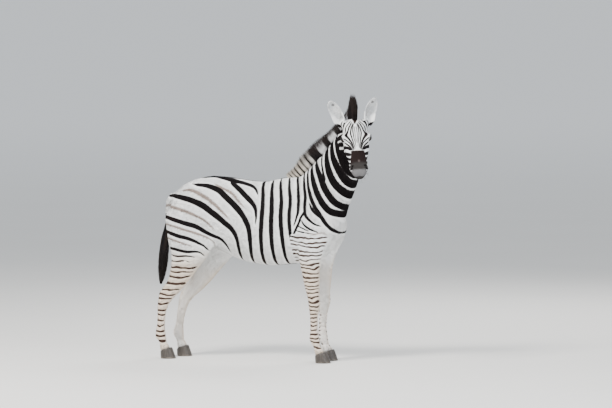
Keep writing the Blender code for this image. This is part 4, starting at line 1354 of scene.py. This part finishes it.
def makeMane():
    draws = np.random.default_rng(51)
    count = manePlan["hairs"] // 1
    roots, ways, tall, half = (np.array([row[k] for row in manePlan["rows"]]) for k in range(4))
    run = runAlong(roots)
    # More hairs where they are longer, so the brush is as full as the crest
    fine = np.linspace(0, run[-1], 400)
    weight = np.interp(fine, run, 0.5 + tall / 0.09)
    at = np.interp(draws.uniform(0, 1, count), np.cumsum(weight) / weight.sum(), fine)
    root = rowsAt(at, roots, run)
    way = unit(rowsAt(at, unit(ways), run))
    line = unit(rowsAt(at, np.gradient(roots, run, axis=0), run))
    side = unit(np.cross(line, way))
    across = draws.uniform(-1, 1, count)
    wide = np.interp(at, run, half) * 0.86
    length = np.interp(at, run, tall) * (1 - 0.24 * across ** 2) * draws.uniform(0.84, 1.02, count)
    # Locks: neighbours lean the same way
    lock = bend(np.stack((at * 60, across), 1), 1.0, 52, 0.05)
    first, second = manePlan["brush"]
    upright = smooth(at, run[first], run[second])
    lean = side * (across * 0.10 + lock[:, 0])[:, None] * (1 - 0.5 * upright[:, None])
    lean = lean + line * (lock[:, 1] + draws.normal(0, 0.03, count))[:, None]
    start = root + side * (across * wide * (1 - 0.5 * upright))[:, None] - way * manePlan["sunk"]
    tipWay = unit(way + lean + side * (across * 0.05 * upright)[:, None])
    length = length + manePlan["sunk"]
    paths = []
    for t in np.linspace(0, 1, 4):
        bow = side * (across * manePlan["bow"] * math.sin(t * math.pi))[:, None]
        paths.append(start + tipWay * (length * t)[:, None] + bow + home)
    bands = np.full(count, noMark)
    for place, reach in manePlan["bands"]:
        bands = np.maximum(bands, reach - np.abs(root[:, 0] + draws.normal(0, 0.0012, count) - place))
    tipped = smooth(root[:, 0], 0.27, 0.40) * 0.65 + 0.35
    warm = 1 - smooth(root[:, 0], 0.26, 0.42)
    places = np.stack((0.01 + 0.98 * at / run[-1], np.full(count, 0.01)), 1)
    width = np.full(count, manePlan["width"]) * draws.uniform(0.8, 1.3, count)
    made = hairMesh("mane_hair", np.stack(paths, 1), width, side, (1, 0.95, 0.62, 0), manePlan["thick"],
                    places, 0.97, {"marks": np.stack((bands * 1000, tipped, warm), 1)})
    made.data.materials.append(hairPaint("mane hair", **maneColours))
    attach(made, "root")
    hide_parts("mane")
    print("mane set:", len(made.data.polygons), "triangles")


makeMane()

# Tail: the brush's middle line from the dock to its tip, as length, height and radius
tailPlan = {
    "line": [(-0.505, 0.790, 0.012), (-0.514, 0.700, 0.021), (-0.524, 0.640, 0.0245), (-0.535, 0.550, 0.0250),
             (-0.542, 0.480, 0.0220), (-0.548, 0.425, 0.0130), (-0.551, 0.394, 0.0040)],
    "hairs": 4300,
    "width": 0.00085,
    "thick": 0.7,  # as a share of the width
    "taper": (0.8, 1, 1, 1, 0.95, 0.8, 0.5, 0),
}
tailColours = {
    "pale": (0.09, 0.065, 0.05),
    "cream": (0.09, 0.065, 0.05),
    "dark": (0.008, 0.007, 0.008),
    "tip": (0.040, 0.028, 0.022),
}


def makeTail():
    draws = np.random.default_rng(61)
    count = tailPlan["hairs"] // 1
    line = np.array(tailPlan["line"])
    begin = draws.uniform(0.0, 0.34, count)
    end = np.minimum(1.0, draws.uniform(0.60, 1.06, count))
    turn = draws.uniform(-math.pi, math.pi, count)
    away = np.sqrt(draws.uniform(0.02, 1, count)) * 0.93
    drift = draws.normal(0, 0.35, count)
    wisp = (draws.uniform(0, 1, count) > 0.88) * draws.uniform(0.10, 0.45, count)
    paths = []
    for t in np.linspace(0, 1, 8):
        x, z, radius = rowsAt(towards(begin, end, t) * (len(line) - 1), line).T
        angle = turn + drift * t + 0.25 * np.sin(turn * 3 + t * 5)
        out = radius * (away * (0.55 + 0.45 * smooth(np.full(count, t), 0, 0.35)) + wisp * t ** 2)
        flow = 0.0022 * np.sin(t * 9 + turn * 2) * t
        point = np.stack((x + out * np.cos(angle) + flow, out * np.sin(angle) * 0.92 + flow * 0.5, z), 1)
        paths.append(point + home)
    flat = np.stack((np.cos(turn), np.sin(turn), np.zeros(count)), 1)
    places = np.stack((0.01 + 0.98 * (turn / (2 * math.pi) + 0.5), 0.01 + 0.3 * begin), 1)
    brown = draws.uniform(0, 1, count) < 0.10
    dark = np.where(brown & (begin < 0.06), -1.2, 6.0)
    marks = np.stack((dark, np.full(count, 0.4), np.full(count, 0.7)), 1)
    width = tailPlan["width"] * draws.uniform(0.75, 1.3, count)
    made = hairMesh("tail_hair", np.stack(paths, 1), width, flat, tailPlan["taper"], tailPlan["thick"],
                    places, 0.66, {"marks": marks})
    made.data.materials.append(hairPaint("tail hair", **tailColours))
    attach(made, "root")
    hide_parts("tail_brush")
    print("tail set:", len(made.data.polygons), "triangles")


makeTail()


# Eyes: a dark ball with a clear swell over a brown-black iris and a level pupil
def eyePaint():
    paint = Paint("eye", 0.35, {"Coat Weight": 0.45, "Coat Roughness": 0.03, "Specular IOR Level": 0.1})
    across, high, _ = paint.mark("gaze")
    square = across * across + high * high
    fibres = paint.noise(900, 2)
    iris = paint.mix(fibres, (0.006, 0.003, 0.002), (0.018, 0.008, 0.004))
    pupil = (across * across * 5.6 + high * high * 30.0).step(0.85, 1.15)
    inner = paint.mix(pupil, (0.0015, 0.0020, 0.0035), iris)
    colour = paint.mix((square + (fibres - 0.5) * 0.02).step(0.40, 0.48), inner, (0.014, 0.009, 0.007))
    return paint.finish(Base_Color=paint.mix(square.step(0.80, 0.95), colour, (0.020, 0.013, 0.011)))


def makeEye(side, name, material):
    centre, out, level, rise = eyeFrame(side)
    bm = bmesh.new()
    bmesh.ops.create_uvsphere(bm, u_segments=48, v_segments=32, radius=1)
    ball = objectFrom(bm, name)
    gaze = pointsOf(ball)
    swell = 1 + 0.055 * smooth(gaze[:, 2], 0.72, 1.0)
    ballPoints = gaze @ np.array((level, rise, out))
    setPoints(ball, centre + ballPoints * (swell * (eyePlan["radius"] - eyePlan["gap"]))[:, None])
    if side > 0:  # the ball is mirrored
        ball.data.flip_normals()
    addMark(ball, "gaze", gaze)
    ball.data.shade_smooth()
    ball.data.materials.append(material)
    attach(ball, "root")
    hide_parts("eye_left" if side > 0 else "eye_right")


ballPaint = eyePaint()
makeEye(1, "eyeball_left", ballPaint)
makeEye(-1, "eyeball_right", ballPaint)

# Lashes on the upper lids, whiskers on lips and chin, and long hair inside the ears
fineHair = {
    "lashes": 34,
    "lashLength": 0.0095,
    "lashWidth": 0.00028,
    "whiskers": 46,
    "whiskerLength": 0.024,
    "whiskerWidth": 0.00022,
    "earHairs": 520,
    "earLength": 0.0135,
    "earWidth": 0.00050,
}


def makeLashes():
    starts, ways = [], []
    for side in (-1, 1):
        centre, out, level, rise = eyeFrame(side)
        for turn in np.linspace(math.radians(18), math.radians(158), fineHair["lashes"]):
            edge = 1.06 / math.hypot(math.cos(turn) / eyePlan["long"], math.sin(turn) / eyePlan["upper"])
            around = level * math.cos(turn) + rise * math.sin(turn)
            ray = out * math.cos(math.radians(edge)) + around * math.sin(math.radians(edge))
            starts.append(centre + ray * (eyePlan["radius"] + 0.0016))
            ways.append(unit(ray * 0.9 - rise * 0.10 + level * math.cos(turn) * 0.25))
    starts, ways = np.array(starts), np.array(ways)
    return starts, ways, np.array((0, 0, 0.25)), fineHair["lashLength"], fineHair["lashWidth"]


def makeWhiskers():
    s, turn, _, _ = onFace(skinPoints[corners].mean(1))
    chosen = np.nonzero((faceRegion == "head") & (s > 0.80) & (s < 1.0) & (np.abs(turn) > 60))[0]
    draws = np.random.default_rng(71)
    _, points, normals, _ = rooted(chosen, 1.0, fineHair["whiskers"] * 2, draws)
    ways = unit(normals + forward * 0.5)
    return points, ways, np.array((0, 0, -0.25)), fineHair["whiskerLength"], fineHair["whiskerWidth"]


def makeEarHair():
    draws = np.random.default_rng(72)
    inside = marked["area"][:, 1][corners].mean(1) > 0.93
    chosen = np.nonzero(np.isin(faceRegion, earRegions[::2]) & inside)[0]
    _, points, normals, _ = rooted(chosen, 1.0, fineHair["earHairs"] * 2, draws)
    ways = unit(upEars(points) + normals * 0.12 + draws.normal(0, 0.12, points.shape))
    return points, ways, normals * -0.05, fineHair["earLength"], fineHair["earWidth"]


def addFineHair(name, found, dark, material, seed):
    starts, ways, droop, longest, width = found
    draws = np.random.default_rng(seed)
    count = len(starts)
    length = longest * draws.uniform(0.6, 1.0, count)[:, None]
    roots = starts - ways * 0.001
    steps = np.linspace(0, 1, 4)
    paths = np.stack([roots + ways * (length * t) + droop * (length * t * t) for t in steps], 1)
    flat = unit(np.cross(ways, draws.normal(size=(count, 3))))
    places = draws.uniform(0.05, 0.95, (count, 2))
    made = hairMesh(name, paths, np.full(count, width), flat, (1, 0.85, 0.6, 0), 1.0, places, 0,
                    {"marks": np.tile((dark, 0.0, 0.0), (count, 1))})
    made.data.materials.append(material)
    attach(made, "root")


blackTone, inkTone, paleTone = (0.02, 0.018, 0.017), (0.012, 0.010, 0.010), (0.62, 0.60, 0.59)
blackHair = hairPaint("black hair", blackTone, blackTone, inkTone, inkTone)
paleHair = hairPaint("pale ear hair", paleTone, paleTone, (0.30, 0.28, 0.27), (0.5, 0.48, 0.47))
addFineHair("eyelashes", makeLashes(), 6, blackHair, 73)
addFineHair("whiskers", makeWhiskers(), 6, blackHair, 74)
addFineHair("ear_hair", makeEarHair(), -1.0, paleHair, 75)
print("eyes, lashes, whiskers and ear hair set")

# Hooves: the solids rounded off, with growth rings round the wall
hoofPlan = {"voxel": 0.0016, "ring": 0.0068, "deep": 0.00016, "rounds": 5}


def hoofPaint():
    paint = Paint("hoof horn", 0.42, {"Specular IOR Level": 0.45})
    rise, ring, _ = paint.mark("wall")
    grain = paint.noise(120, 4, (2.4, 2.4, 0.25))
    blotch = paint.noise(38, 3)
    colour = paint.mix(grain.step(0.3, 0.7), (0.030, 0.025, 0.022), (0.085, 0.071, 0.060))
    colour = paint.mix(ring * 0.18, colour, (0.030, 0.025, 0.022))
    colour = paint.mix((1 - rise.step(0.0, 0.22)) * blotch.step(0.3, 0.7) * 0.7, colour, (0.26, 0.22, 0.18))
    colour = paint.mix(rise.step(0.84, 0.98) * 0.6, colour, (0.035, 0.028, 0.025))
    height = grain * 0.6 + paint.noise(600, 2) * 0.4
    relief = paint.bump(height, 0.4, 0.0006)
    return paint.finish(Base_Color=colour, Roughness=0.36 + blotch * 0.22, Normal=relief)


def makeHoof(name, material):
    hoof = objectFrom(copyOf(name), name + "_horn")
    remeshed(hoof, hoofPlan["voxel"] * (1))
    low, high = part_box(name)
    points = Net(hoof).eased(pointsOf(hoof), 0.5, hoofPlan["rounds"])
    setPoints(hoof, points)
    normals = normalsOf(hoof)
    rise = (points[:, 2] - low.z) / (high.z - low.z)
    wall = 1 - np.abs(normals[:, 2])
    ring = np.sin((points[:, 2] + 0.0012 * waves(points, 0.05, 81)) / hoofPlan["ring"] * 2 * math.pi)
    points = points + normals * (ring * hoofPlan["deep"] * wall * smooth(rise, 0.05, 0.2))[:, None]
    points[:, 2] = np.maximum(points[:, 2], low.z)
    setPoints(hoof, points)
    addMark(hoof, "wall", np.stack((rise, 0.5 - ring / 2, wall), 1))
    hoof.data.shade_smooth()
    hoof.data.materials.clear()
    hoof.data.materials.append(material)
    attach(hoof, "root")
    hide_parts(name)
    return len(hoof.data.polygons) * 2


hornPaint = hoofPaint()
hoofFaces = [makeHoof(name, hornPaint) for name in hoofNames]
print("hooves set:", sum(hoofFaces), "triangles")

# Stage: floor, air, lamps as place, size, power and colour, and the camera
studio = {
    "away": 25.0,
    "azimuth": 20,
    "elevation": 3,
    "aim": (0.2688, 0.8387),
    "width": 3.290,
    "film": 36.0,
    "air": (0.90, 0.95, 1.0, 1),
    "airPower": 0.85,
}
lamps = {
    "key": ((-1.2, -4.0, 5.0), 1.6, 620, (1.0, 0.97, 0.92)),
    "fill": ((4.2, -2.6, 2.2), 3.0, 130, (0.92, 0.96, 1.0)),
    "back": ((0.6, 4.4, 4.2), 3.0, 230, (1.0, 0.98, 0.95)),
}


def setStage():
    bm = bmesh.new()
    bmesh.ops.create_circle(bm, cap_ends=True, segments=96, radius=400)
    floor = objectFrom(bm, "studio_floor")
    paint = Paint("pale floor", 0.9)
    place = paint.node("TexCoord", out="Object")
    away = paint.node("VectorMath", {"operation": "LENGTH"}, {0: place}, "Value")
    nearby = paint.mix(paint.noise(0.8), (0.72, 0.71, 0.69), (0.76, 0.75, 0.73))
    # the floor painted paler far off: painted light that lets it meet the air at the horizon
    colour = paint.mix(away.step(3, 40), nearby, (0.96, 0.96, 0.96))
    floor.data.materials.append(paint.finish(Base_Color=colour))
    world = bpy.data.worlds.new("studio air")
    bpy.context.scene.world = world
    world.use_nodes = True
    air = world.node_tree.nodes["Background"].inputs
    air["Color"].default_value = studio["air"]
    air["Strength"].default_value = studio["airPower"]
    for name, (place, size, power, colour) in lamps.items():
        light = bpy.data.lights.new(name, "AREA")
        light.size = size
        light.energy = power
        light.color = colour
        lamp = placed(name, light)
        lamp.location = place
        lamp.rotation_euler = (Vector((0, 0, 0.7)) - Vector(place)).to_track_quat("-Z", "Y").to_euler()


def setCamera():
    turn, rise = math.radians(studio["azimuth"]), math.radians(studio["elevation"])
    across, height = studio["aim"]
    aim = Vector(home) + Vector((across * math.cos(turn), across * math.sin(turn), height))
    back = Vector((math.sin(turn) * math.cos(rise), -math.cos(turn) * math.cos(rise), math.sin(rise)))
    lens = bpy.data.cameras.new("camera")
    lens.sensor_width = studio["film"]
    lens.lens = studio["film"] * studio["away"] / studio["width"]
    lens.clip_end = 1000
    camera = placed("camera", lens)
    camera.location = aim + back * studio["away"]
    camera.rotation_euler = back.to_track_quat("Z", "Y").to_euler()
    bpy.context.scene.camera = camera


setStage()
setCamera()
print("stage set")
